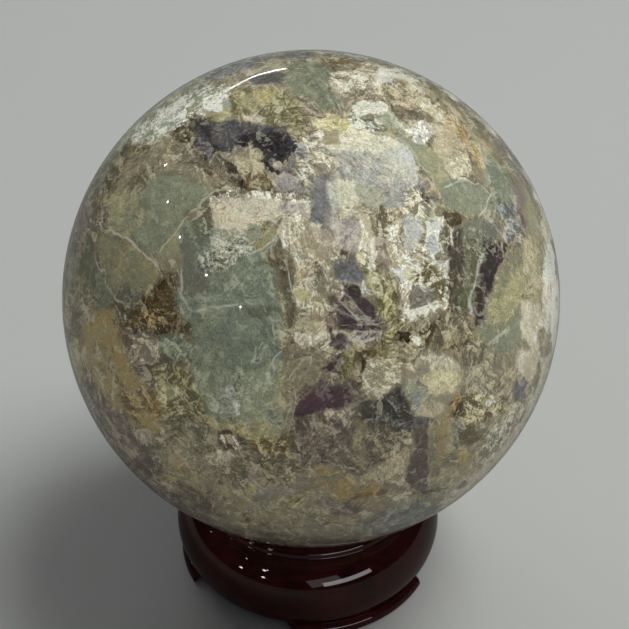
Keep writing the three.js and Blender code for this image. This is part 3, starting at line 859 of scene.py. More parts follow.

# %% [markdown]
# The middle is a column of beige crumbs between a brown wedge and a purple block, and a bright field of
# foil beside it. A small white flash in that field is a painted glint, light caught on a cleavage face.

# %% Patches of the middle
# The small white flash in the foil field is a painted glint
draw_patches("""
olive_corner sea olive clay 0.6 40: -12.4,14.6 -8,15.4 -6.4,13.6 -7,10.6 -10,8.6 -12.6,11.6
brown_wedge taupe dark_taupe feather 0.5 100: -7.4,12.6 -5.6,12 -4,9 -3.2,6 -2.9,2 -2.9,-3 -3,-7 -4.6,-4
  -5.2,0 -6.4,3.4 -8.4,6.6 -9.6,9.6
brown_wedge_dark dark_taupe umber feather 0.5 110: -8.2,7.4 -7,6 -5.4,4 -4.9,4.6 -5.2,6.6 -6.8,8.4
beige_column cream tan foil 0.5 80: -5,12.6 -4,15 -2,15.6 0.5,14.6 3,13.8 5,12 5.4,9 4,7.5 3.6,5 5,3.6
  6.2,1.6 5.8,0 5,-2 4.8,-4 3.2,-4.6 3.6,-6.6 4.6,-9 3,-10 0,-9.6 -3.8,-10 -2.8,-7 -2.7,-3 -2.8,1 -3,6 -4,9
column_shade rose_grey plum clay 0.8 80: 2.4,2 5.4,2.4 5.6,-3 4.6,-7 2.8,-6.6 3.2,-2
column_granules blush taupe foil 0.6 60: 0,7.6 2.6,6.8 4.6,3.2 5.6,1.6 3,0.2 1,1.4 -0.6,3.8 -1.6,6
yellow_chip pale_olive beige cloud 0.4 60: -2.8,2.3 -0.6,2.1 0.3,0.8 -1,-0.9 -2.6,-0.1
yellow_chip_small pale_straw butter cloud 0.3 60: -2.2,6 -1.2,6 -1,4.6 -2.2,4.6
column_foot_pale sand beige cloud 0.5 60: -2.7,-2.6 0.8,-2.4 1.8,-4.4 1.4,-6 -2.5,-6
column_mauve blush mauve foil 0.4 120: 1.6,-3 4.8,-2.8 4.8,-5 4.5,-8.6 2.4,-8 1.2,-5.4
column_crack violet aubergine clay 0.3 110: 2.7,-4.8 3.8,-5.4 4.6,-7.8 5.4,-9.6 4.2,-9 3.2,-6.8
white_ledge frost sand foil 0.4 10: -1.9,-7.5 1,-7.1 2,-8.4 0,-9.2 -1.6,-9.2
eye_ground taupe umber clay 0.4 30: 5.2,9.9 6.5,9.9 8,9 6.8,7.9 5.4,8.2
curl_ring frost butter foil 0.3 30: 8.8,8.4 9.7,9.9 11.4,9.2 11.1,7.6 9.7,6.8
blue_slate_patch blue_slate slate cloud 0.4 30: 4.2,7.5 6.5,7.6 7.8,8.4 9.4,7 10.8,6 10.3,3.6 8.4,3.3
  6.2,3.5 5,4.8 4.4,6
white_splinters milk stone foil 0.4 70: 10.3,4.4 11.4,6 12,2.6 11.7,0.6 10.7,0.7 10.1,2
purple_block violet aubergine feather 0.7 175: 5.8,3.4 8,3.6 10,3.2 10.3,1 11.6,0.4 12.6,-1 14.2,-4
  13.6,-6.2 8,-6.3 5.6,-6 4.9,-4 5.1,-1 6,0.2
purple_deep aubergine ink cloud 0.5 0: 6.6,3.1 10,3.1 10.1,1 9,-0.2 7.4,0.8
purple_low violet aubergine clay 0.5 60: 5,-6.3 7.6,-8 6.6,-10 4.6,-9.4 4.7,-7.4
ochre_lozenge tan violet cloud 0.9 140: 6.4,-0.4 8.2,-0.4 9.8,-3 8.4,-2.6 6.8,-1.6
lilac_streaks lilac violet feather 0.5 175: 8,-6.4 14,-6.2 14.4,-8 8.6,-8.3
olive_column pale_olive dark_olive clay 0.6 80: 12.2,5 13.6,7 15.6,5.4 16.8,2 16.4,-2 17,-5 16.4,-9.6
  12.2,-9.4 14.2,-8 14.6,-5 12.8,-2 12.6,1
olive_column_cream cream pale_olive foil 0.4 130: 11.8,6.6 14.6,4.6 13,3 13.6,1.8 12,2.2 11.6,4.4
brown_strip taupe umber feather 0.5 85: 16.9,3 18,1 17.8,-4 17.8,-9 16.8,-9 16.9,-4 16.6,0
olive_foot olive dark_olive cloud 0.6 60: 7.4,-9 10,-10 9,-12 8.2,-15.2 6.4,-14.4 6.4,-11
rust_foot olive brown cloud 0.5 10: 10.6,-9.6 15,-9 16.6,-10.4 12,-11.6 10.6,-10.8
umber_crease dark_taupe pit clay 0.4 92: 10.2,-10 11.6,-10.2 11,-12.4 10.6,-14.6 10.4,-18 9,-18 9.6,-14
  9.7,-11.4
foil_field frost beige foil 0.5 60: 15,15.6 18,14 18,11 20,9.6 23,8.2 25,8.2 28.2,7 28.4,3 28.2,0 27,-2
  24,-3 22,-4 18.4,-4.4 18.6,0 17.4,3 14.4,6.4 15,11
foil_cream pale_straw cream foil 0.5 150: 14,6.4 18,5.2 20.6,6.2 20.2,4.6 18.2,3.4 16.2,3.8
foil_olive cream dark_olive foil 0.5 20: 20.6,6.4 23.4,7.6 25.4,6 28,5 28.3,1 26,-1 25.4,1.6 22,3.2 19.6,3.4
foil_brown_edge cream dark_taupe foil 0.5 90: 26.2,16.2 28.5,14 28.5,8.6 26.6,8.2 26.2,11.6
blue_crystal milk steel cloud 0.35 80: 18.1,16.8 22,17 22.3,13 21.2,10.4 19,9.9 18.3,12 18.1,14
blue_crystal_white frost milk foil 0.35 80: 22.8,16.4 26,16.6 26.6,13 26.2,10 24.6,8.5 23,9.5 23.2,12.6
blue_crystal_small ice steel cloud 0.3 60: 23.9,13.6 25.3,13.8 26,11.4 25.5,9.7 24,9.7 23.7,11.4
dark_slot brown pit plain 0.25 80: 18,12.8 18.8,12.9 18.7,11.4 18.1,11.3
dark_cleft brown pit plain 0.3 170: 24.6,7.9 27,8.1 28,7.2 25.4,6.9
grey_pebble stone smoke cloud 0.4 150: 19.9,2.5 22,2.9 25,1.9 25.6,0.4 24,-1 22,-1.9 20.4,-2.3 19.9,0
flash frost frost plain 0.15 40: 20.1,-3.2 20.4,-4.2 21.6,-3.9 23.4,-1.3 23.3,-0.8 22,-1.6
crumb_field tan umber foil 0.5 60: 17.4,-4.4 19.6,-4.1 22,-4.6 25.6,-3.4 26,-5 25.2,-8 22.6,-9.6 20.4,-10.6
  18,-11 17.4,-8
crumb_pit umber pit clay 0.4 60: 17.8,-7 20,-6.6 20.8,-8.4 19.4,-9.6 17.8,-8.4
crumb_white frost sand foil 0.3 150: 20.3,-7.7 22,-7.8 22.9,-8.9 21.6,-9.6 20.4,-8.6
crumb_white_small cream sand foil 0.25 170: 24.1,-7.5 25.7,-7.3 25.4,-8 24.4,-8.1
column_head blush tan feather 0.4 5: -4,11.2 -2,13.1 0.8,13.3 2.3,11.8 2.4,9.6 -0.4,8.8 -3.4,9.4
column_blush blush rose_grey cloud 0.3 80: -1.6,13.9 2,14.1 3.6,14.1 5.7,12.3 5.5,10 4.4,8.3 2.6,8.5 2.3,11
  1.2,12.9 -1,13.2
lavender_column lilac lavender_grey feather 0.4 85: 5.6,15.8 9.2,15.8 9.9,14 9.4,12 8.9,8.6 7.4,9.4 5.3,9.9
  5.6,12.4 5.4,14
cream_finger frost sand feather 0.3 85: 9.6,16.4 11.8,17 12.5,15.8 12.7,13 13.3,11.4 13.5,9 13.3,6.5 12,6.1
  11.8,9 10.5,10.2 9.6,10.3 9.9,13
mauve_by_foil rose_grey mauve clay 0.4 80: 12.9,12.8 14,12.5 15.3,12 15.5,8 15.9,5 14.6,5.1 13.7,7 13.3,10
""")
print("patches so far:", len(patches))

# %% [markdown]
# The right side has a dark prism, olive rays and one deep purple streak, and pale bands at the edge. A
# thin white strip along the right edge is a painted highlight, light seen on the rim.

# %% Patches of the right side
# The thin white strip on the right rim is a painted highlight
draw_patches("""
prism_top grey_green smoke clay 0.5 60: 28.4,14.4 30.6,14.6 33,16.6 36,17.4 38,14.6 39,13 38.2,11.8 36,10.6
  34,11 31,12 30,10
prism_dark dark_taupe dark_slate feather 0.3 88: 28.2,13.6 30.6,14 30.6,8 30.1,2 29.7,-3.4 28.1,-3.2 27.4,4
  27,8.6
prism_sage grey_green dark_sage feather 0.3 84: 30.4,12.6 33,12.4 34.9,11 34.4,6 33.5,0 32.7,-3 31,-2.6
  29.8,-3.2 30.1,2 30.5,8
prism_core dark_sage dark_olive feather 0.3 84: 32,10 33.1,10 32.6,5 32,1 31.6,-1.6 30.9,-1.2 31.3,3 31.8,6
prism_light pearl sage feather 0.25 83: 33.3,10.4 34,10.2 33.6,5 32.9,0 32.5,-2.8 31.9,-2.6 32.4,1 32.9,6
slate_upper steel slate feather 0.4 115: 36.4,18 39,19.4 41,19 42.2,15 41.6,12.4 40.2,11.9 38.6,14.8
violet_upper rose_grey violet feather 0.4 110: 41.4,18.6 42.8,17.6 43.4,14.6 42.6,12.2 41.3,12.4 41.9,15.4
right_olive_field olive grey_green feather 1.2 58: 35,3 36.4,6.6 38.2,8.6 39.6,10.8 42.4,11.4 44,13
  45.6,14.4 46.6,9 46.2,3 44.6,0 42,0 40.6,-2 38.6,-5.4 36.4,-8.4 34.6,-9.8 33,-9 32.4,-5 33.6,-2.6 34.4,1
olive_brown_root tan taupe clay 0.5 60: 35.2,4 36.6,6.8 38.6,8.8 40.4,8.4 39.6,5.4 37.6,4.2 36.8,2 34.8,0.4
right_purple aubergine ink feather 0.9 75: 34.6,11.6 37,11.4 39,12.6 39.8,11.8 39,9.4 38.2,7.2 37.4,5.4
  36.3,3 35.4,-0.6 34.2,-5 32.6,-5.4 32.8,-2.4 33.3,1 33.9,5 34.3,9
right_blush_chip frost rose_grey foil 0.3 60: 40.1,11.7 41,13.2 42.3,13.1 42.3,11.1 41,11
olive_light_rays pale_olive olive feather 2.0 62: 36.4,-2 37.8,0.4 39,3.4 41.4,6 43.6,5.2 43.8,2 41.6,0
  39.8,-2.4 38,-5 35.6,-4.4
right_straw_edge sand olive feather 1.2 80: 42.4,12 44.6,13 46.2,8 46.4,2 45,-1 42.8,0 42.2,6
right_green_band sage grey_green pane 0.5 72: 39.8,-2.2 41.4,0.2 42.2,-4 42.2,-8 40.2,-11 37.4,-10 36,-9
  38.2,-6
right_pale_edge pale_sage sage feather 0.3 50: 34.4,-9.8 36.8,-7.6 39.6,-5 39.2,-6.6 37,-9.4 35,-10.4
right_cream frost sand cloud 0.5 85: 46,15 47.6,12 48.9,7 49.5,0 70,0 66,-20 49,-12 46,-12.6 44,-10 45.2,-4
  46,0 46.6,6
right_cream_mauve cream sand cloud 1.0 80: 42.4,-0.6 45.4,0 46,-4 45,-9 42.6,-8.4 42.3,-4
rim_sage sage grey_green pane 0.5 80: 47,10 48.5,10 49.2,5.4 48.4,4.4 47.5,6
rim_lilac lilac lavender_grey clay 0.4 70: 48.3,0.6 49.5,1.4 49.8,-2.6 49,-4.2 48.4,-2
rim_tan tan taupe feather 0.5 60: 46.8,-6 48.6,-6.6 48,-11 46.4,-12.4 46,-9
rim_ochre cream sand foil 0.4 40: 46.6,17 47.6,13.4 48.4,11.4 47,11 45.8,15
left_rim_sage sage grey_green pane 0.5 90: -48.8,9 -47.2,10 -46.7,4.4 -47.8,3 -48.6,5
left_rim_cream blush tan foil 0.4 80: -49.7,1.4 -48.6,2 -48,-4 -48.8,-6.4 -49.5,-3
left_rim_mauve mauve violet feather 0.5 95: -45.8,20 -44,19 -46,13 -47.6,12.6 -47,16
left_rim_olive pale_olive olive clay 0.5 100: -48.6,-8.6 -47,-8 -45.6,-15 -46.8,-17 -48,-12
white_rim_strip frost frost plain 0.2 90: 47.6,13.5 48.6,10 49.5,5 49.8,0 49.5,-4 48.6,-8.6 47.9,-6 48.3,-2
  48.5,2 48.3,6 47.9,10
right_taupe_field tan dark_taupe clay 0.7 60: 25.6,-4 28,-3 31,-3.6 33,-6 33.4,-9 36,-11 33,-14 30,-12.4
  27,-10.4 22.8,-9.6 24.6,-8
far_rim stone taupe feather 0.6 90: 49.6,14 51,0 49.8,-14 60,-30 80,0 60,30
right_low_ground sand taupe feather 0.8 50: 31,-12.6 36,-11 40,-10.6 43,-9.6 45,-12.6 44,-18 40.6,-24 36,-29
  31,-33 27.6,-30 28.4,-24 31,-19 30.6,-15
low_cream cream sand feather 1.2 70: 41.6,-10.4 46.4,-9 45.8,-14 44.4,-19 42,-18 41.4,-14
right_ochre_spot tan taupe cloud 1.2 30: 37,-11.4 41,-10.8 42.2,-13 39,-14.2 36.6,-13.4
right_cream_shards blush sand foil 0.4 50: 41.8,-13.8 44,-11.4 45.4,-9.8 46.4,-11.4 45,-13.2 43,-14.6
slate_triangle blue_slate slate cloud 0.4 80: 40.8,-17.4 42.4,-15.4 44.2,-17.4 42.6,-20.4 40.8,-19.6
right_low_rim cream sand feather 0.7 50: 46.4,-12 45.2,-18 42,-24 38,-29.4 34,-34 30,-37.6 26,-41 40,-60
  80,-30 60,-10
shard_streaks cream taupe foil 0.5 50: 36,-27 38,-24 41,-21 43,-21.4 41,-25 38,-29.4 35,-31 34.6,-29
""")
print("patches so far:", len(patches))

# %% [markdown]
# Below them a yellow crystal sits over a mass of dark slate, with columns of purple, sage and ochre.

# %% Patches of the lower right
draw_patches("""
cream_granular_low cream tan grain 0.5 30: 11.4,-11 14,-10.6 17.4,-11 18.6,-14 19,-16 17.2,-17.6 16,-19.2
  13.4,-20.2 10.2,-19.4 10.2,-15 10.8,-12.4
yellow_crystal tan stone pane 1.2 160: 19.6,-12 24,-10.4 28,-10.8 30.6,-13 30.6,-16 30,-18.4 28,-20.6
  27.6,-22.6 24.4,-24 22,-23 20,-22.8 19,-20.4 18.4,-18 19,-15
crystal_mauve_top cream tan cloud 0.7 0: 20,-11.4 24.4,-10.8 29,-12.2 30,-14 26,-14.4 22,-14 19.6,-14
crystal_yellow pale_straw sand cloud 1.6 20: 22.4,-15.4 26,-14 29.2,-14.2 29.6,-17.4 27.6,-19 24.2,-19.2
  23.6,-17.6 21.4,-16.6
crystal_green pale_sage sage cloud 0.5 60: 18.6,-18.4 20,-16.6 23.4,-17.6 24,-19.4 22,-22.8 20,-22.6
  19.2,-20.6
crystal_blue_spot steel blue_slate cloud 0.4 80: 20.3,-18.8 22,-18.8 22.1,-21.4 21,-22.5 20.2,-21.4
crystal_beige_foot sand beige cloud 0.5 150: 22.6,-20.4 27.4,-20.6 27.2,-22.3 24.4,-23.7 22.4,-22.8
dark_slate_mass slate ink feather 0.9 160: 16.2,-18.2 18,-17.8 18.8,-20.4 20,-23 22.4,-23.2 24.6,-24.6
  22,-25.6 20,-26.2 17.4,-26.6 15,-25 12.4,-25.2 10.2,-25.6 9.8,-23 10.2,-20 13,-20.4
slate_mass_light smoke dark_slate feather 1.1 165: 10.4,-20.2 14,-20.4 16,-21.4 15.6,-23 12,-23.6 10.2,-24.6
taupe_low tan plum grain 0.7 40: 10.6,-25.4 15,-25.2 18,-27 20.6,-28 20,-31 19,-34.4 17,-37 12,-36.4
  10.8,-33 11.6,-31 10.6,-28
taupe_low_pale sand tan grain 0.7 30: 11.6,-34.4 16,-32.2 19,-30 20.2,-33 18,-37.2 14,-37.4 11.4,-36.2
cream_low_chip cream sand foil 0.4 40: 18,-28 20.8,-27.4 21.2,-28.6 19.4,-29.7
purple_column violet plum feather 1.5 88: 20.8,-25.6 24,-25 24,-30 23.6,-36 24,-39 19.6,-38.6 19.4,-34
  20.4,-30 20.6,-27.6
sage_column olive smoke cloud 0.6 88: 24,-25.6 26,-24.6 26.2,-30 25.8,-36 28,-38.6 24,-39 23.8,-32
ochre_column tan ochre cloud 1.3 80: 25.4,-23.8 27.8,-22.4 28.4,-25 27.8,-29 26.2,-32.4 25.8,-28
brown_gold ochre umber foil 0.5 60: 28.2,-20.4 30.6,-19 31.4,-22 30.6,-24.2 28,-24
gold_crystals pale_straw brown grain 0.5 40: 31,-18.8 35,-18.8 38,-19.6 38.6,-22.6 36,-24 31.6,-24.6 31,-22
gold_white frost cream foil 0.4 30: 34.6,-20 36.8,-19.6 37.6,-20.8 36.2,-21.9 34.8,-21.2
olive_grey_grain stone dark_olive grain 0.7 40: 28.4,-25 33,-25 34.4,-28.4 31,-29.6 28.4,-29.4
ochre_glow straw ochre cloud 0.7 0: 28.8,-29.8 32,-30.2 32,-32.6 29,-33
low_right_beige sand tan cloud 0.7 50: 26,-33.6 29,-33.4 33,-31.6 33.6,-34 30,-37.6 27,-40.4 25.8,-38
""")
print("patches so far:", len(patches))

# %% [markdown]
# The foot is darker, with mauve and plum clay round one vivid purple glow, and ochre drifts under it.

# %% Patches of the foot of the ball
draw_patches("""
lower_ground tan taupe clay 0.8 20: -16,-30 -6,-33 0,-34 10,-36 20,-38 27,-40 24,-60 -24,-60 -20,-42
brown_fibres tan taupe feather 0.6 75: -5.6,-10.4 -3.8,-10 0,-10 3,-10.4 2.6,-13 1.2,-15.6 -2,-17 -3.4,-20
  -3.8,-26 -6,-27 -5.6,-18
mauve_mass mauve plum clay 0.6 40: 2.4,-12.4 5,-10.8 7,-12.4 7.6,-15 9.4,-17 9,-19 10,-22 6,-21.8 1,-22.4
  -2,-23.4 -3.6,-22.4 -3,-19 -1,-17 1.6,-16
plum_shadow mauve aubergine clay 0.5 60: 1.8,-13.4 3.4,-11.4 5,-10.4 6.3,-10.4 6.2,-13 6.3,-16 5,-17.2
  3,-17.4 1.6,-16.4
olive_pocket olive dark_olive cloud 0.5 80: 6.2,-10.2 8.6,-9.5 9.9,-11 9.5,-14 8,-15.4 6.4,-15.6 6.1,-13
sage_sliver smoke dark_sage cloud 0.5 170: 2.8,-16.2 7,-15.6 8.4,-16.2 7.6,-17.2 4.6,-17.1 2.8,-17.2
purple_fade mauve violet feather 1.6 5: -4.4,-22.8 -2,-21.4 1,-20.6 6.4,-20.4 9.6,-20.6 9.6,-18.6 8.2,-17.8
  6.8,-18.4 6.6,-20.6 8,-22.2 0,-22.9
purple_night violet ink pane 1.1 5: -1.6,-19.4 0.4,-17.6 3,-16.9 6,-16.7 8.6,-17.4 7.6,-19 3,-19
purple_glow vivid_purple aubergine pane 1.0 5: -4.6,-23.8 -3.4,-21 -1.2,-19 2,-17.9 5,-17.8 8.4,-18.4
  8.8,-21.6 5,-22.2 1,-22.6 -1.6,-23.4
mauve_cushion mauve plum grain 0.8 20: -3.6,-23 1,-22.4 6,-22 10,-23 10.6,-27 9.6,-31 7,-33.4 2,-33 0,-34
  -3,-33.6 -3.6,-30 -4.6,-27
cushion_cream blush mauve grain 0.6 20: 2.6,-22.6 6,-22.3 8.4,-23.6 7.6,-25.6 4,-24.8
cushion_mauve mauve plum cloud 0.8 60: 5,-26.8 9,-26.6 9.6,-31 6,-31.8 4,-29.6
olive_seam olive taupe cloud 0.6 88: 8.6,-24.6 11,-25 11.4,-31.6 9.6,-33.2 8.8,-30
ochre_shelf straw brown foil 0.5 150: -16,-25.6 -12,-25.6 -8,-27 -6,-27.4 -4.4,-27 -3.4,-30 -4.4,-32
  -8,-31.6 -12,-29.8 -14,-28
straw_shelf straw olive clay 0.6 160: -14,-25.6 -10,-26 -7.2,-26 -6.8,-28 -11,-28.2 -14,-27
brown_facets tan dark_taupe foil 0.7 30: -14,-31.6 -9,-31.8 -4,-32.6 -1,-34 -4,-36 -8,-38 -13,-39 -16,-37
  -18,-34
facet_mauve rose_grey mauve cloud 0.5 30: -12.6,-34.4 -10,-34.4 -8.8,-36 -12.6,-36.4
grey_facet stone taupe cloud 0.6 30: -12,-38.2 -8,-36.6 -4,-37 -1.6,-35 -1,-38 -4,-40 -8,-41 -12,-41
green_spot_low pale_olive olive grain 0.6 40: -13,-37 -10.8,-36.8 -11,-39.6 -13.4,-39.8
straw_spot_low straw dark_olive cloud 0.6 170: -5.4,-40 -2,-39.8 -1.4,-41.4 -4.6,-42.2
ochre_drift ochre taupe cloud 0.8 160: 1,-33.6 4,-34 9,-36 11,-37.4 14,-37.4 15.6,-38 14,-39.6 10,-40.6
  7,-40.2 3,-38.2 1.4,-36
rust_streak rust brown feather 0.5 12: 8,-40 11,-38.9 14.4,-37.8 15.6,-37.2 15.8,-38.6 13,-39.4 9,-40.6
brown_drift mauve plum cloud 0.8 160: 1.4,-39.6 8,-40.2 10,-41.6 8,-44.2 4,-43.2 1,-41.2
cream_streak_low cream sand foil 0.4 30: 17.2,-41 19.8,-39.4 20.2,-39 18.4,-39.2 16.8,-40.4
blue_grey_foot stone slate feather 0.7 25: 9,-44.6 13,-43 17,-41.4 21,-40.6 25.4,-41 27,-43 20,-46.6 12,-48
bottom_band taupe dark_taupe feather 0.8 172: -26,-43.4 -16,-45.6 -6,-47.2 4,-47.4 10,-47 10,-70 -30,-70
""")
print("patches so far:", len(patches))

# %% [markdown]
# Cleavage planes and healed cracks show as thin lines, pale where they part the crystal and dark where
# clay has seeped in. The pale dots, under half a millimetre long, and the two pale dashes at the brown
# pocket's rim are painted glints, small highlights of light. A row gives a line's tone, its width in
# millimetres, its strength from nothing to one, and after the colon its spots.

# %% Cleavage lines and cracks
# Among the pale rows, the dots and the two dashes at the brown pocket's rim are painted glints
LINE_TABLE = """
pale 0.5 0.8: -44,16 -42,13.6 -40,13.8 -38,13.1 -36.5,12 -34.5,9.8 -32,7.4 -31.2,6.4
pale 0.4 0.7: -17,22.5 -22,19.5 -25,16.5 -29.3,10.9 -30.7,9.3
pale 0.3 0.5: -18,20.5 -22,18 -24,15
pale 0.35 0.35: 6.2,1.6 8.6,-0.6 11,-3.4 13.6,-5.4
pale 0.3 0.3: 5.6,-2.2 8.8,-3.4 13,-3.6
dark 0.5 0.5: -28,28.6 -25.4,31.4 -23.2,37 -20.6,34.4 -18.6,30.4 -17.4,26.6 -16.4,24.4
dark 0.4 0.7: -17.5,26.5 -14.5,23.5
pale 0.4 0.6: -43,8.4 -41.4,4 -39.5,0 -37,-1.7
dark 0.4 0.5: -40.2,12 -40.4,7
dark 0.45 0.9: -29.6,3.6 -30.2,2 -30.5,0.7 -31.8,0 -30.5,-1 -29.5,-2 -28.7,-1.2
dark 0.4 0.8: -35.6,-2.4 -34.4,-3.2 -33.4,-4.8
pale 0.35 0.8: -37.6,-3.6 -37.5,-4.8
pale 0.3 0.8: -37.4,-6.4 -36.2,-6.3
pale 0.4 0.7: -26.2,5.5 -26,2 -25.8,0.5 -25,-1 -24.2,-2 -22,-1.8 -18,-1.5 -14,-1.3
pale 0.35 0.6: -27.4,-13 -27,-14.5
dark 0.5 0.7: -47.8,-4.6 -47.7,-6.4
dark 0.5 0.7: -46.4,-10.6 -46.2,-12.6
dark 0.5 0.7: -28,-23.3 -25,-23.5
dark 0.4 0.7: -32,-30.5 -33,-32
pale 0.4 0.7: -5,15.8 -6.5,13.5 -8,11.8 -10,10 -12,8.8
pale 0.3 0.5: -2.4,17.4 -6,15.6 -10,12.6 -14,9.8
pale 0.3 0.4: -1,18.4 -7,17.4 -13,15.8 -17,14.6
pale 0.3 0.4: 0.6,19 -4,19.4 -11,18.6 -17,18
pale 0.35 0.7: -6,8 -5,6 -4.3,4 -3.3,1.5
dark 0.4 0.6: -1.2,4 -0.5,3 0,2
dark 0.5 0.7: 2,6 1.6,4.5
dark 0.5 0.9: 0,-9.8 0.7,-9.8
dark 0.35 0.9: 3,-10.2 4.5,-10.8
dark 0.6 0.9: -9.4,25.4 -8,22.2 -10,21.6 -15,22.6
dark 0.4 0.7: -5,26 0,22.3
dark 0.35 0.7: -7,15.5 -4,16.5
dark 0.4 0.7: 0,17 1.7,15.3
dark 0.5 0.7: -3.3,41.2 -1,38.6 2,37.8
pale 0.5 0.8: -1,38.5 0.6,37.6 2,37
pale 0.35 0.6: 5,30 13,30.8 18,32
dark 0.35 0.6: 21.7,24.5 22,20.5
dark 0.3 0.5: 18.7,24 19,22.5
pale 0.4 0.5: 14,33.2 18,31.4 21,28.8 24,24.6 26,20
dark 0.35 0.6: 38,31 41,27 44,20 46,15 47.4,9
pale 0.35 0.7: 27,22.4 31,24.4 34.2,23.2 35.8,20.6 33.4,16.6
pale 0.4 0.8: 38.6,14.7 39.4,13.4 40,12
dark 0.35 0.6: 40.8,11.6 42.2,11.1
pale 0.35 0.6: 33.2,8.4 33,2 32.3,-2
dark 0.35 0.7: 28.4,12 28.6,8 28.5,3 28,-1 27,-3.5
pale 0.35 0.5: 6,-1 9.5,-3.3
pale 0.35 0.5: 9,-4.7 14,-4.6
pale 0.35 0.5: 8.6,-6.3 13.6,-6.2
pale 0.5 0.8: 5.5,-6.2 7,-7 8,-8 11,-8.2 12.8,-7.8
dark 0.4 0.8: 17,-10.5 18,-10.8
pale 0.35 0.6: -2,-12 -3.5,-14.5 -5,-17
pale 0.35 0.6: 0,-11.5 -1,-15
pale 0.35 0.7: -10,-8 -11.2,-9.5 -11,-11 -12,-12.5 -11,-13 -10,-12.7
pale 0.35 0.7: -5.8,-10.5 -7.5,-12.5 -7.5,-16
dark 0.4 0.7: -14.5,-15.5 -15.5,-17.5
pale 0.35 0.6: -10,-20.3 -9.3,-21.1 -8.7,-21.7
pale 0.3 0.5: -4.5,-20 -5.3,-25
pale 0.3 0.5: -3.5,-18 -4.5,-27
dark 0.8 0.9: -6,-30.2 -4.7,-30.2
dark 0.6 0.8: 2,-31.2 6,-32.5 9.5,-33.8
pale 0.4 0.7: 2.4,-32.2 6,-33.4 9.2,-34.8
dark 0.8 0.7: 27,-32.2 28.6,-32.2
dark 0.5 0.7: 20,-39 26,-38 28,-37.5
pale 0.5 0.7: 35,-9.8 37,-8.2 38.8,-6
dark 0.5 0.8: 37.3,-10.7 36.5,-13
pale 0.4 0.6: 20.5,-23 22.5,-22.8 24,-23.7
pale 0.4 0.7: 38.5,-24.5 39.5,-24
pale 0.5 0.7: 36.5,-26 36.9,-27
pale 0.4 0.8: 26,7 27.3,6
dark 0.3 0.7: 19.8,7.5 21,6.8
dark 0.9 0.8: -12.6,-44 -14,-44.2
dark 0.9 0.8: -18.6,-37 -17.8,-37
dark 0.9 0.9: 24.6,39.6 25.4,39.4
dark 0.9 0.9: 35.6,33 36.4,32.4
dark 0.7 0.9: 23.5,31.2 24.1,30.8
dark 0.9 0.9: 12.4,45.8 13.2,45.8
dark 0.9 0.9: 0.7,18.2 1.3,18.2
dark 0.7 0.8: -31.4,35.5 -30.6,35.5
dark 0.6 0.8: -22.3,38.7 -21.6,38.6
dark 0.6 0.8: -3,25.7 -2.6,25.7
dark 0.6 0.8: 4.3,35.5 4.8,35.5
dark 0.5 0.8: 5,33.7 5.4,33.7
dark 0.9 0.9: 11,-10.3 11.5,-10.3
dark 0.6 0.9: 26,13.3 26.4,13.3
pale 0.6 0.9: 21.8,0.2 22.2,0.2
pale 0.7 0.9: 4.3,-6.5 4.7,-6.5
pale 0.6 0.9: 16.2,-39.8 16.6,-39.8
pale 0.6 0.8: -12,-35 -11.6,-35
pale 0.6 0.8: -28,-18.5 -27.6,-18.5
dark 0.8 0.7: 41.8,0.7 42.2,0.7
dark 0.7 0.7: -38.9,-13.8 -38.5,-13.8
dark 0.8 0.6: 29,-17.6 29.4,-17.6
dark 1.1 0.8: 5.8,9 6.9,8.9
dark 0.5 0.7: -7.4,-46 -7.1,-46
dark 0.5 0.7: -1,-38.3 -0.7,-38.3
dark 0.5 0.7: -1.1,-40 -0.9,-40
dark 0.6 0.7: -4.2,18.8 -3.8,18.8
dark 1.0 0.8: 38.2,-20 38.8,-20.1
dark 0.9 0.8: 36.3,-27.3 36.7,-27.4
dark 0.9 0.8: 34.8,-23 35.2,-23
dark 0.8 0.7: 23,-39.1 23.4,-39.1
"""
lines = [
    (tone, float(width), float(strength), spots) for (tone, width, strength), spots in table_rows(LINE_TABLE)
]
print("cleavage lines and cracks:", len(lines))

# %% [markdown]
# The patches are handed to the shader as paint layers. A layer holds patches that keep clear of one
# another, and a patch that lies over another goes into a higher layer. Each ball point stores, for every
# layer, the light tone of the nearest patch and how far inside its outline the point is. That distance
# changes evenly from point to point, so the shader can draw an edge far sharper than the mesh. The dark
# tone, the habit and the slant are stored once for each point, from the patch that lies on top there.

# %% Sort the patches into layers
REACH = 1.7
FULL_SCALE = 4.0
HIDDEN_DEPTH = 1.5
OVERLAP_DEPTH = 1.2
CORE_DEPTH = 0.3
LEAST_SOFTNESS = 0.6
SOFTNESS_REACH = 0.8
PLAIN_SLANT = 60.0
SLANTS = (0, 45, 90, 135)


def outline_distance(u, v, spots, closed=True):
    # Distance to an outline in millimetres: below zero inside a closed one, signed by side of an open one
    nearest = np.full(u.shape, 1e9)
    inside = np.zeros(u.shape, bool)
    ends = spots[1:] + spots[:1] if closed else spots[1:]
    for (ax, ay), (bx, by) in zip(spots, ends):
        ex, ey = bx - ax, by - ay
        share = np.clip(((u - ax) * ex + (v - ay) * ey) / (ex * ex + ey * ey + 1e-9), 0, 1)
        gap = np.hypot(u - ax - share * ex, v - ay - share * ey)
        if closed:
            crosses = (ay > v) != (by > v)
            inside ^= crosses & (u < ax + (v - ay) * ex / (ey if ey else 1e-9))
        else:
            inside = np.where(gap < nearest, ex * (v - ay) - ey * (u - ax) < 0, inside)
        nearest = np.minimum(nearest, gap)
    return np.where(inside, -nearest, nearest)


def points_near(spots):
    low, high = np.min(spots, axis=0) - REACH, np.max(spots, axis=0) + REACH
    return np.flatnonzero((map_u > low[0]) & (map_u < high[0]) & (map_v > low[1]) & (map_v < high[1]))


def stored_gap(gap):
    # A distance kept as a number from 0 to 1: 0.5 on the outline, and FULL_SCALE away at either end
    return 0.5 + gap / FULL_SCALE / 2


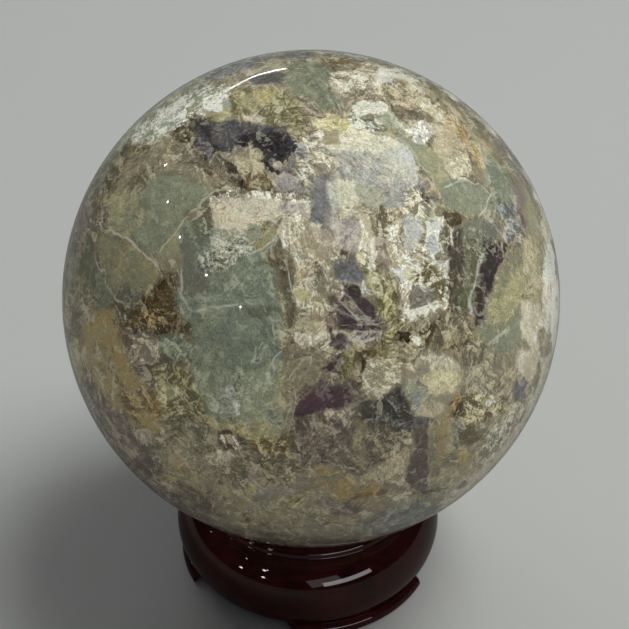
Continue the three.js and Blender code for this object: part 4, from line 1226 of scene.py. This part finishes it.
def linear_tone(name):
    srgb = np.array(STONE_COLOURS[name]) / 255
    return np.where(srgb < 0.04045, srgb / 12.92, ((srgb + 0.055) / 1.055) ** 2.4)


def store(name, values):
    attribute = ball_mesh.attributes.new(name, "FLOAT_COLOR", "POINT")
    attribute.data.foreach_set("color", np.ascontiguousarray(values, dtype=np.float32).ravel())


point_count = len(ball_points)
prepared = []
covered = np.zeros(point_count, bool)
for looks, spots in reversed(patches.values()):
    close_by = points_near(spots)
    gap = outline_distance(map_u[close_by], map_v[close_by], spots)
    seen = (gap < REACH) & ~covered[close_by]
    covered[close_by[gap < -HIDDEN_DEPTH]] = True
    prepared.append((looks, close_by[seen], gap[seen]))

layers = []
level_at = np.full(point_count, -1)
habit_at = np.tile(HABITS["clay"], (point_count, 1))
slant_at = np.full(point_count, PLAIN_SLANT)
shade_at = np.full((point_count, 4), 0.5)
for (light, dark, habit, softness, slant), close_by, gap in reversed(prepared):
    core = close_by[gap < -CORE_DEPTH]
    level = level_at[core].max() + 1 if len(core) else 0
    while level < len(layers) and layers[level]["taken"][close_by].any():
        level += 1
    if level == len(layers):
        layers.append({"tone": np.zeros((point_count, 4)), "taken": np.zeros(point_count, bool)})
    layers[level]["taken"][close_by] = True
    layers[level]["tone"][close_by, :3] = linear_tone(light)
    layers[level]["tone"][close_by, 3] = stored_gap(-gap)
    core = close_by[gap < max(-OVERLAP_DEPTH, 0.5 * gap.min())]
    level_at[core] = np.maximum(level_at[core], level)
    cover = np.clip(0.5 - gap / max(softness, LEAST_SOFTNESS), 0, 1)[:, None]
    habit_at[close_by] += cover * (np.array(HABITS[habit]) - habit_at[close_by])
    shade = np.append(linear_tone(dark) / linear_tone(light), 0)
    shade_at[close_by] += cover * (shade - shade_at[close_by])
    shade_at[close_by[gap < SOFTNESS_REACH], 3] = 0.5 * softness / FULL_SCALE / 2
    slant_at[close_by[gap < 0]] = slant

for i, layer in enumerate(layers):
    store(f"tone_{i}", layer["tone"])
off_slants = [np.abs((slant_at - slant + 90) % 180 - 90) for slant in SLANTS]
store("habit", habit_at)
store("slant", np.stack([np.clip(1 - off / 45, 0, 1) for off in off_slants], axis=1))
store("shade", shade_at)
print("paint layers:", len(layers))

# %% [markdown]
# The thin lines are stored the same way, by their signed distance, which passes through zero exactly on
# the line. Two lines that come close to each other must not share a set, or their distances would mix.

# %% Sort the lines into sets
LINE_END_FADE = 0.5


def blank_set():
    return {"values": np.full((point_count, 2), (0.5, 0.0)), "taken": np.zeros(point_count, bool)}


line_sets = {"pale": [], "dark": []}
for tone, width, strength, spots in lines:
    close_by = points_near(spots)
    gap = outline_distance(map_u[close_by], map_v[close_by], spots, closed=False)
    close_by, gap = close_by[np.abs(gap) < REACH], gap[np.abs(gap) < REACH]
    free_sets = [line_set for line_set in line_sets[tone] if not line_set["taken"][close_by].any()]
    if not free_sets:
        free_sets = [blank_set()]
        line_sets[tone] += free_sets
    line_set = free_sets[0]
    line_set["taken"][close_by] = True
    line_set["values"][close_by, 0] = stored_gap(gap / width)
    here = np.column_stack([map_u[close_by], map_v[close_by]])
    start, end = np.array(spots[0]), np.array(spots[-1])
    lead_in, lead_out = start - np.array(spots[1]), end - np.array(spots[-2])
    before = (here - start) @ lead_in / np.hypot(*lead_in)
    beyond = (here - end) @ lead_out / np.hypot(*lead_out)
    fade = np.clip(1 - np.maximum(before, beyond) / LINE_END_FADE, 0, 1)
    line_set["values"][close_by, 1] = strength * fade

line_names = {"pale": [], "dark": []}
for tone, sets in line_sets.items():
    if len(sets) % 2:
        sets.append(blank_set())
    for first, second in zip(sets[::2], sets[1::2]):
        name = f"{tone}_lines_{len(line_names[tone])}"
        line_names[tone].append(name)
        store(name, np.column_stack([first["values"], second["values"]]))
print("line sets:", line_names)

# %% [markdown]
# Within a patch the light and the dark tone mingle by patterns that run through the whole stone: fine
# grains, long feathers along the patch's slant, crumpled foil, broken crystals with streaks that each
# run their own way, and slow clouds. The broken crystals and the foil carry painted shading: each of
# their small faces is made brighter towards one side, as if light fell on it. All of them are read from
# the stone's own place in space, as if the ball were cut from a solid block. The noise behind them is
# stretched to run from -1 to 1.

# %% Patterns of the stone
class StoneRecipe(Recipe):
    # The recipe's further words, for stone
    def dot(self, a, b):
        return self.node("ShaderNodeVectorMath", {0: a, 1: b}, operation="DOT_PRODUCT").outputs["Value"]

    def stored(self, name, read_as="Color"):
        node = self.node("ShaderNodeAttribute", attribute_name=name)
        return node.outputs[read_as], node.outputs["Alpha"]

    def signed(self, noise, half_range=0.14):
        # Stretches the middle of a noise's range to run from -1 to 1
        return self.spread(noise, 0.5 - half_range, 0.5 + half_range, -1.0, 1.0)

    def off_middle(self, noise):
        return self.math("ABSOLUTE", self.minus(noise, 0.5))

    def bent(self, place, colour, size):
        # Moves a place by a colour's three numbers
        shares = self.node("ShaderNodeSeparateColor", {0: colour}).outputs
        step = self.combined(*[self.times(self.minus(share, 0.5), size) for share in shares])
        return self.vector("ADD", place, step)


stone = StoneRecipe(fluorite_material.node_tree)
place = stone.node("ShaderNodeTexCoord").outputs["Object"]
in_mm = stone.vector("SCALE", place, scale=1 / MM)
depth = stone.dot(in_mm, tuple(map_middle / 3))
crumple = stone.node("ShaderNodeTexNoise", {"Vector": in_mm, "Scale": 0.4, "Detail": 1.0}).outputs["Color"]
bent = stone.bent(in_mm, crumple, 2.6)
lightly_bent = stone.bent(in_mm, crumple, 1.4)

grain = stone.signed(stone.noise(in_mm, 0.55, 4.0, 0.72))
dust = stone.signed(stone.noise(in_mm, 0.3, 1.0, 0.6))
cloud = stone.signed(stone.noise(in_mm, 4.5), 0.15)


def slanted_space(place, slant, length, width):
    # Space seen along one slant of the map, squeezed so that what is drawn in it comes out long and thin
    along, across = turned_pair(map_right, map_up, radians(slant))
    squeezed = [stone.dot(place, tuple(way)) for way in (along / length, across / width)]
    return stone.combined(*squeezed, depth)


def crystal_faces(space, size):
    # Broken faces: each has a brightness of its own, and painted shading that makes it brighter towards one
    # side, as if light fell on a slanted face
    cells = {"Vector": space, "Scale": 1 / size}
    seed = stone.node("ShaderNodeTexVoronoi", cells, feature="F1").outputs["Position"]
    chance = stone.vector("SINE", stone.vector("SCALE", seed, scale=31 / size))
    brightness = stone.dot(chance, (0.5, -0.55, 0.5))
    slope = stone.times(stone.dot(stone.vector("SUBTRACT", space, seed), chance), 1.7 / size)
    return brightness, slope


# The broken faces at three sizes, each with its own tone and its painted shading
big_tone, big_painted_shade = crystal_faces(slanted_space(lightly_bent, 52, 2.2, 1), 4.4)
small_tone, small_painted_shade = crystal_faces(slanted_space(lightly_bent, 118, 1.8, 1), 1.7)
chip_tone, chip_painted_shade = crystal_faces(lightly_bent, 0.75)
turning = {"Vector": lightly_bent, "Axis": tuple(map_middle), "Angle": stone.times(big_tone, 4.0)}
turned_place = stone.node("ShaderNodeVectorRotate", turning, rotation_type="AXIS_ANGLE").outputs[0]


def shard_noise(length, width, detail, roughness):
    # Long noise that runs its own way in each of the big crystal faces
    return stone.noise(slanted_space(turned_place, 0, length, width), 1.0, detail, roughness)


def lines_where_level(noise, thickness):
    # Thin light lines that follow the noise's middle level, as folds and shard edges do
    return stone.spread(stone.off_middle(noise), 0.0, thickness, 1.0, -0.2)


streaks = stone.signed(shard_noise(6, 0.45, 3.0, 0.65), 0.13)
scratches = stone.signed(shard_noise(2.2, 0.22, 2.0, 0.7))
broad_shards = shard_noise(2.8, 0.8, 1.0, 0.4)
shards = stone.signed(broad_shards)
folds = lines_where_level(stone.noise(bent, 2.8, 1.0), 0.025)
ridges = stone.mixture(stone.times(folds, 0.4), (lines_where_level(broad_shards, 0.04), 0.6))
# Both mixtures hold painted shading of the faces: the crystals in part, the foil for the most part
crystals = stone.mixture(
    stone.times(streaks, 0.36),
    (big_tone, 0.14), (big_painted_shade, 0.26), (small_tone, 0.18), (small_painted_shade, 0.34), (chip_painted_shade, 0.22),
    (shards, 0.34), (ridges, 0.60), (scratches, 0.30),
)
foil = stone.mixture(stone.times(ridges, 0.5), (small_painted_shade, 0.7), (chip_tone, 0.35), (chip_painted_shade, 0.7))

feather_spaces = [slanted_space(in_mm, slant, 6, 0.8) for slant in SLANTS]
feathers = [stone.signed(stone.noise(space, 1.0, 3.0, 0.55), 0.16) for space in feather_spaces]
slant_weights, last_weight = stone.stored("slant", "Vector")
feather = stone.mixture(stone.dot(slant_weights, stone.combined(*feathers[:3])), (last_weight, feathers[3]))
print("pattern nodes:", len(stone.tree.nodes))

# %% [markdown]
# Now the stone is painted from the bottom up. The layers of patches give the light tone and the shade,
# and the patterns, painted face shading among them, choose between the two. The patches' edges wobble a
# little with the crystals. Over the layers come the cleavage lines with a few painted glints among them,
# crystal edges, painted highlights on the brightest corners of the faces, fine cracks, painted glints
# scattered as specks, and pits, and over everything the polish, which is the shader's clear coat.

# %% Polished fluorite
def solid(name):
    return (*linear_tone(name), 1)


edge_wobble = stone.mixture(stone.times(grain, 0.012), (chip_tone, 0.022), (small_tone, 0.040))
colour = solid("tan")
shade, soft = stone.stored("shade")
edge_low, edge_high = stone.minus(0.5, soft), stone.plus(0.5001, soft)
for i in range(len(layers)):
    tone, inside = stone.stored(f"tone_{i}")
    inside = stone.plus(inside, edge_wobble)
    colour = stone.over(colour, tone, stone.spread(inside, edge_low, edge_high, smooth=True))

habit, crystal_share = stone.stored("habit", "Vector")
grain_share, feather_share, foil_share = stone.parts(habit)
pattern = stone.mixture(
    0.5,
    (grain_share, stone.times(grain, 0.5)), (feather_share, stone.times(feather, 0.5)),
    (foil_share, stone.times(foil, 0.6)), (stone.times(crystal_share, 1.15), crystals),
    (cloud, 0.10), (grain, 0.10), (dust, 0.06),
)
mingle = stone.node("ShaderNodeClamp", {0: pattern, 1: 0.0, 2: 1.3}).outputs[0]
darkened = stone.over(colour, shade, 1.0, blend_type="MULTIPLY")
colour = stone.over(darkened, colour, mingle, clamp_factor=False)

lively = stone.mixture(1.0, (scratches, 0.05), (dust, 0.16), (grain, 0.06))
warmth = stone.mixture(stone.times(small_tone, 0.025), (big_tone, 0.015))
warm_tint = {0: stone.plus(lively, warmth), 1: lively, 2: stone.mixture(lively, (warmth, -1.4))}
warm_tint = stone.node("ShaderNodeCombineColor", warm_tint).outputs[0]
colour = stone.over(colour, warm_tint, 1.0, blend_type="MULTIPLY")

broken = stone.spread(stone.noise(in_mm, 1.6, roughness=0.6), 0.36, 0.60, 0.35, 1.0)
# The pale tone draws the cleavage lines and the painted glints alike
line_tones = {"pale": solid("milk"), "dark": solid("umber")}
for tone, names in line_names.items():
    for name in names:
        values, second_strength = stone.stored(name, "Vector")
        first, first_strength, second = stone.parts(values)
        for offset, strength in ((first, first_strength), (second, second_strength)):
            off_line = stone.math("ABSOLUTE", stone.times(stone.minus(offset, 0.5), FULL_SCALE * 2))
            cover = stone.times(strength, stone.spread(off_line, 0.2, 0.8, 1.0, 0.0, smooth=True))
            colour = stone.over(colour, line_tones[tone], stone.times(cover, broken))

edge_zones = stone.times(stone.spread(stone.noise(in_mm, 3.0, roughness=0.6), 0.42, 0.60), crystal_share)
for size, thickness, strength in ((6.5, 0.02, 0.25), (2.4, 0.04, 0.2)):
    faces = {"Vector": lightly_bent, "Scale": 1 / size}
    to_edge = stone.node("ShaderNodeTexVoronoi", faces, feature="DISTANCE_TO_EDGE").outputs["Distance"]
    on_edge = stone.spread(to_edge, 0.0, thickness, strength, 0.0, smooth=True)
    colour = stone.over(colour, solid("cream"), stone.times(on_edge, edge_zones))
# Painted highlights: where the painted face shading is brightest, the faces' corners turn cream, as if they
# caught the light
lit_corners = stone.mixture(stone.plus(small_painted_shade, stone.times(chip_painted_shade, 0.6)), (streaks, 0.25))
painted_corner_highlights = stone.spread(lit_corners, 0.75, 1.15, smooth=True)
colour = stone.over(colour, solid("cream"), stone.times(stone.times(painted_corner_highlights, 0.4), crystal_share))

crack = stone.off_middle(stone.noise(bent, 2.6, 4.0, 0.6))
crack = stone.spread(crack, 0.004, 0.03, 0.85, 0.0, smooth=True)
crack = stone.times(crack, stone.spread(stone.noise(in_mm, 4.0, 1.0), 0.5, 0.62))
colour = stone.over(colour, solid("umber"), stone.times(crack, crystal_share))

loose = stone.mixture(stone.minus(foil_share, 0.3), (grain_share, 0.5))
loose = stone.math("MAXIMUM", stone.times(loose, 1.6), 0.0)
# Painted glints: tiny frost-white specks over the foil and the grain, as if small crystal faces caught the
# light
painted_glints = stone.spread(stone.noise(in_mm, 0.5, roughness=0.6), 0.66, 0.72, smooth=True)
colour = stone.over(colour, solid("frost"), stone.math("MINIMUM", stone.times(painted_glints, loose), 0.85))
pits = stone.spread(stone.noise(in_mm, 0.9, 1.0), 0.30, 0.24, smooth=True)
colour = stone.over(colour, solid("umber"), stone.math("MINIMUM", stone.times(pits, loose), 0.8))

POLISH = {"Coat Weight": 1.0, "Coat Roughness": 0.03, "Coat IOR": 1.43}
stone.surface({"Base Color": colour, "Roughness": 0.45, **POLISH})
print("fluorite nodes:", len(stone.tree.nodes))

# %% [markdown]
# The polish mirrors a few small bright things. A small lamp is placed by where its mirror image is seen:
# a line of sight goes from the camera to the surface, is mirrored there, and the lamp stands at its end.
# These lamps show only in mirror images and light nothing else. The soft lights that are low or close
# shine on the two pieces only, so that the floor keeps its soft shadow.

# %% Small mirrored lamps
from mathutils.bvhtree import BVHTree

PIN_SPOTS = {
    "pin_1": (165.6, 165), "pin_2": (167.6, 202), "pin_3": (179.5, 237), "pin_4": (206.4, 275),
    "pin_5": (240.3, 307),
}
PIN_SIZE, PIN_GLOW = 0.019, 45
HORIZON_BARS = {
    # Each lamp's spots in the picture, its thickness in metres, and its glow
    "horizon_bar_low": ([(229, 89.5), (254, 76.5)], 0.03, 7),
    "horizon_bar_high": ([(255, 76), (283, 69)], 0.05, 8),
}
STAND_LAMPS = {
    "ring_dot_1": ([(241, 567)], 0.05, 22),
    "ring_dot_2": ([(264, 571)], 0.05, 22),
    "ring_dot_3": ([(263, 578)], 0.05, 22),
    "window": ([(328, 585), (366, 572)], 0.17, 4),
    "window_pane": ([(318, 583), (332, 580)], 0.32, 0.7),
}
LAMP_DISTANCE, BAR_DISTANCE = 1.2, 2.0

bpy.context.view_layer.update()
depsgraph = bpy.context.evaluated_depsgraph_get()
surfaces = [(BVHTree.FromObject(piece, depsgraph), piece) for piece in (ball, stand)]


def mirrored_sight(x, y):
    # From a spot of the picture, in its pixels, to the surface there and the way its mirror image looks
    middle_of_picture = PICTURE_WIDTH / 2
    look = Vector((x - middle_of_picture, middle_of_picture - y, -FOCAL_LENGTH_IN_PICTURE)).normalized()
    look = (camera.rotation_quaternion.to_matrix() @ look).normalized()
    hits = [(tree.ray_cast(camera.location, look), piece) for tree, piece in surfaces]
    hits = [(hit[3], hit[0], hit[1], piece) for hit, piece in hits if hit[0] is not None]
    _, spot, normal, piece = min(hits, key=lambda hit: hit[0])
    if piece is ball:
        normal = (spot - BALL_CENTRE).normalized()
    return spot, look - 2 * look.dot(normal) * normal


def mirrored_lamp(name, starts, distance, thickness, glow):
    # One spot gives a small square lamp, two spots give a bar between them
    ends = [spot + way * distance for spot, way in (mirrored_sight(x, y) for x, y in starts)]
    middle = sum(ends, Vector()) / len(ends)
    length = (ends[-1] - ends[0]).length + thickness
    power = glow * length * thickness * pi
    lamp = soft_light(name, middle - BALL_CENTRE, length, power, height=thickness, mirrored=True)
    if len(ends) == 2:
        outward_axis = (middle - BALL_CENTRE).normalized()
        along = (ends[1] - ends[0]).normalized()
        side = outward_axis.cross(along).normalized()
        along = side.cross(outward_axis)
        lamp.rotation_quaternion = Matrix((along, side, outward_axis)).transposed().to_quaternion()
    lamp.visible_diffuse = False
    return lamp


def lit_only(name, *pieces):
    lit = bpy.data.collections.new(name)
    for piece in pieces:
        lit.objects.link(piece)
    return lit


for name, spot in PIN_SPOTS.items():
    mirrored_lamp(name, [spot], LAMP_DISTANCE, PIN_SIZE, PIN_GLOW)
for name, (spots, thickness, glow) in HORIZON_BARS.items():
    mirrored_lamp(name, spots, BAR_DISTANCE, thickness, glow)
all_but_the_floor = lit_only("lit_by_the_fill", ball, stand)
for name in ("fill", "overhead_near", "side"):
    bpy.data.objects[name].light_linking.receiver_collection = all_but_the_floor
only_the_stand = lit_only("lit_by_the_ring_lamps", stand)
for name, (spots, thickness, glow) in STAND_LAMPS.items():
    lamp = mirrored_lamp(name, spots, LAMP_DISTANCE, thickness, glow)
    lamp.light_linking.receiver_collection = only_the_stand

# %% [markdown]
# Both pieces now take the places of their CAD solids and ride on the one body.

# %% Hand over
for piece, node, slot in ((ball, "fluorite_sphere", "fluorite"), (stand, "rosewood_stand", "rosewood")):
    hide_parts(node)
    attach(piece, "root")
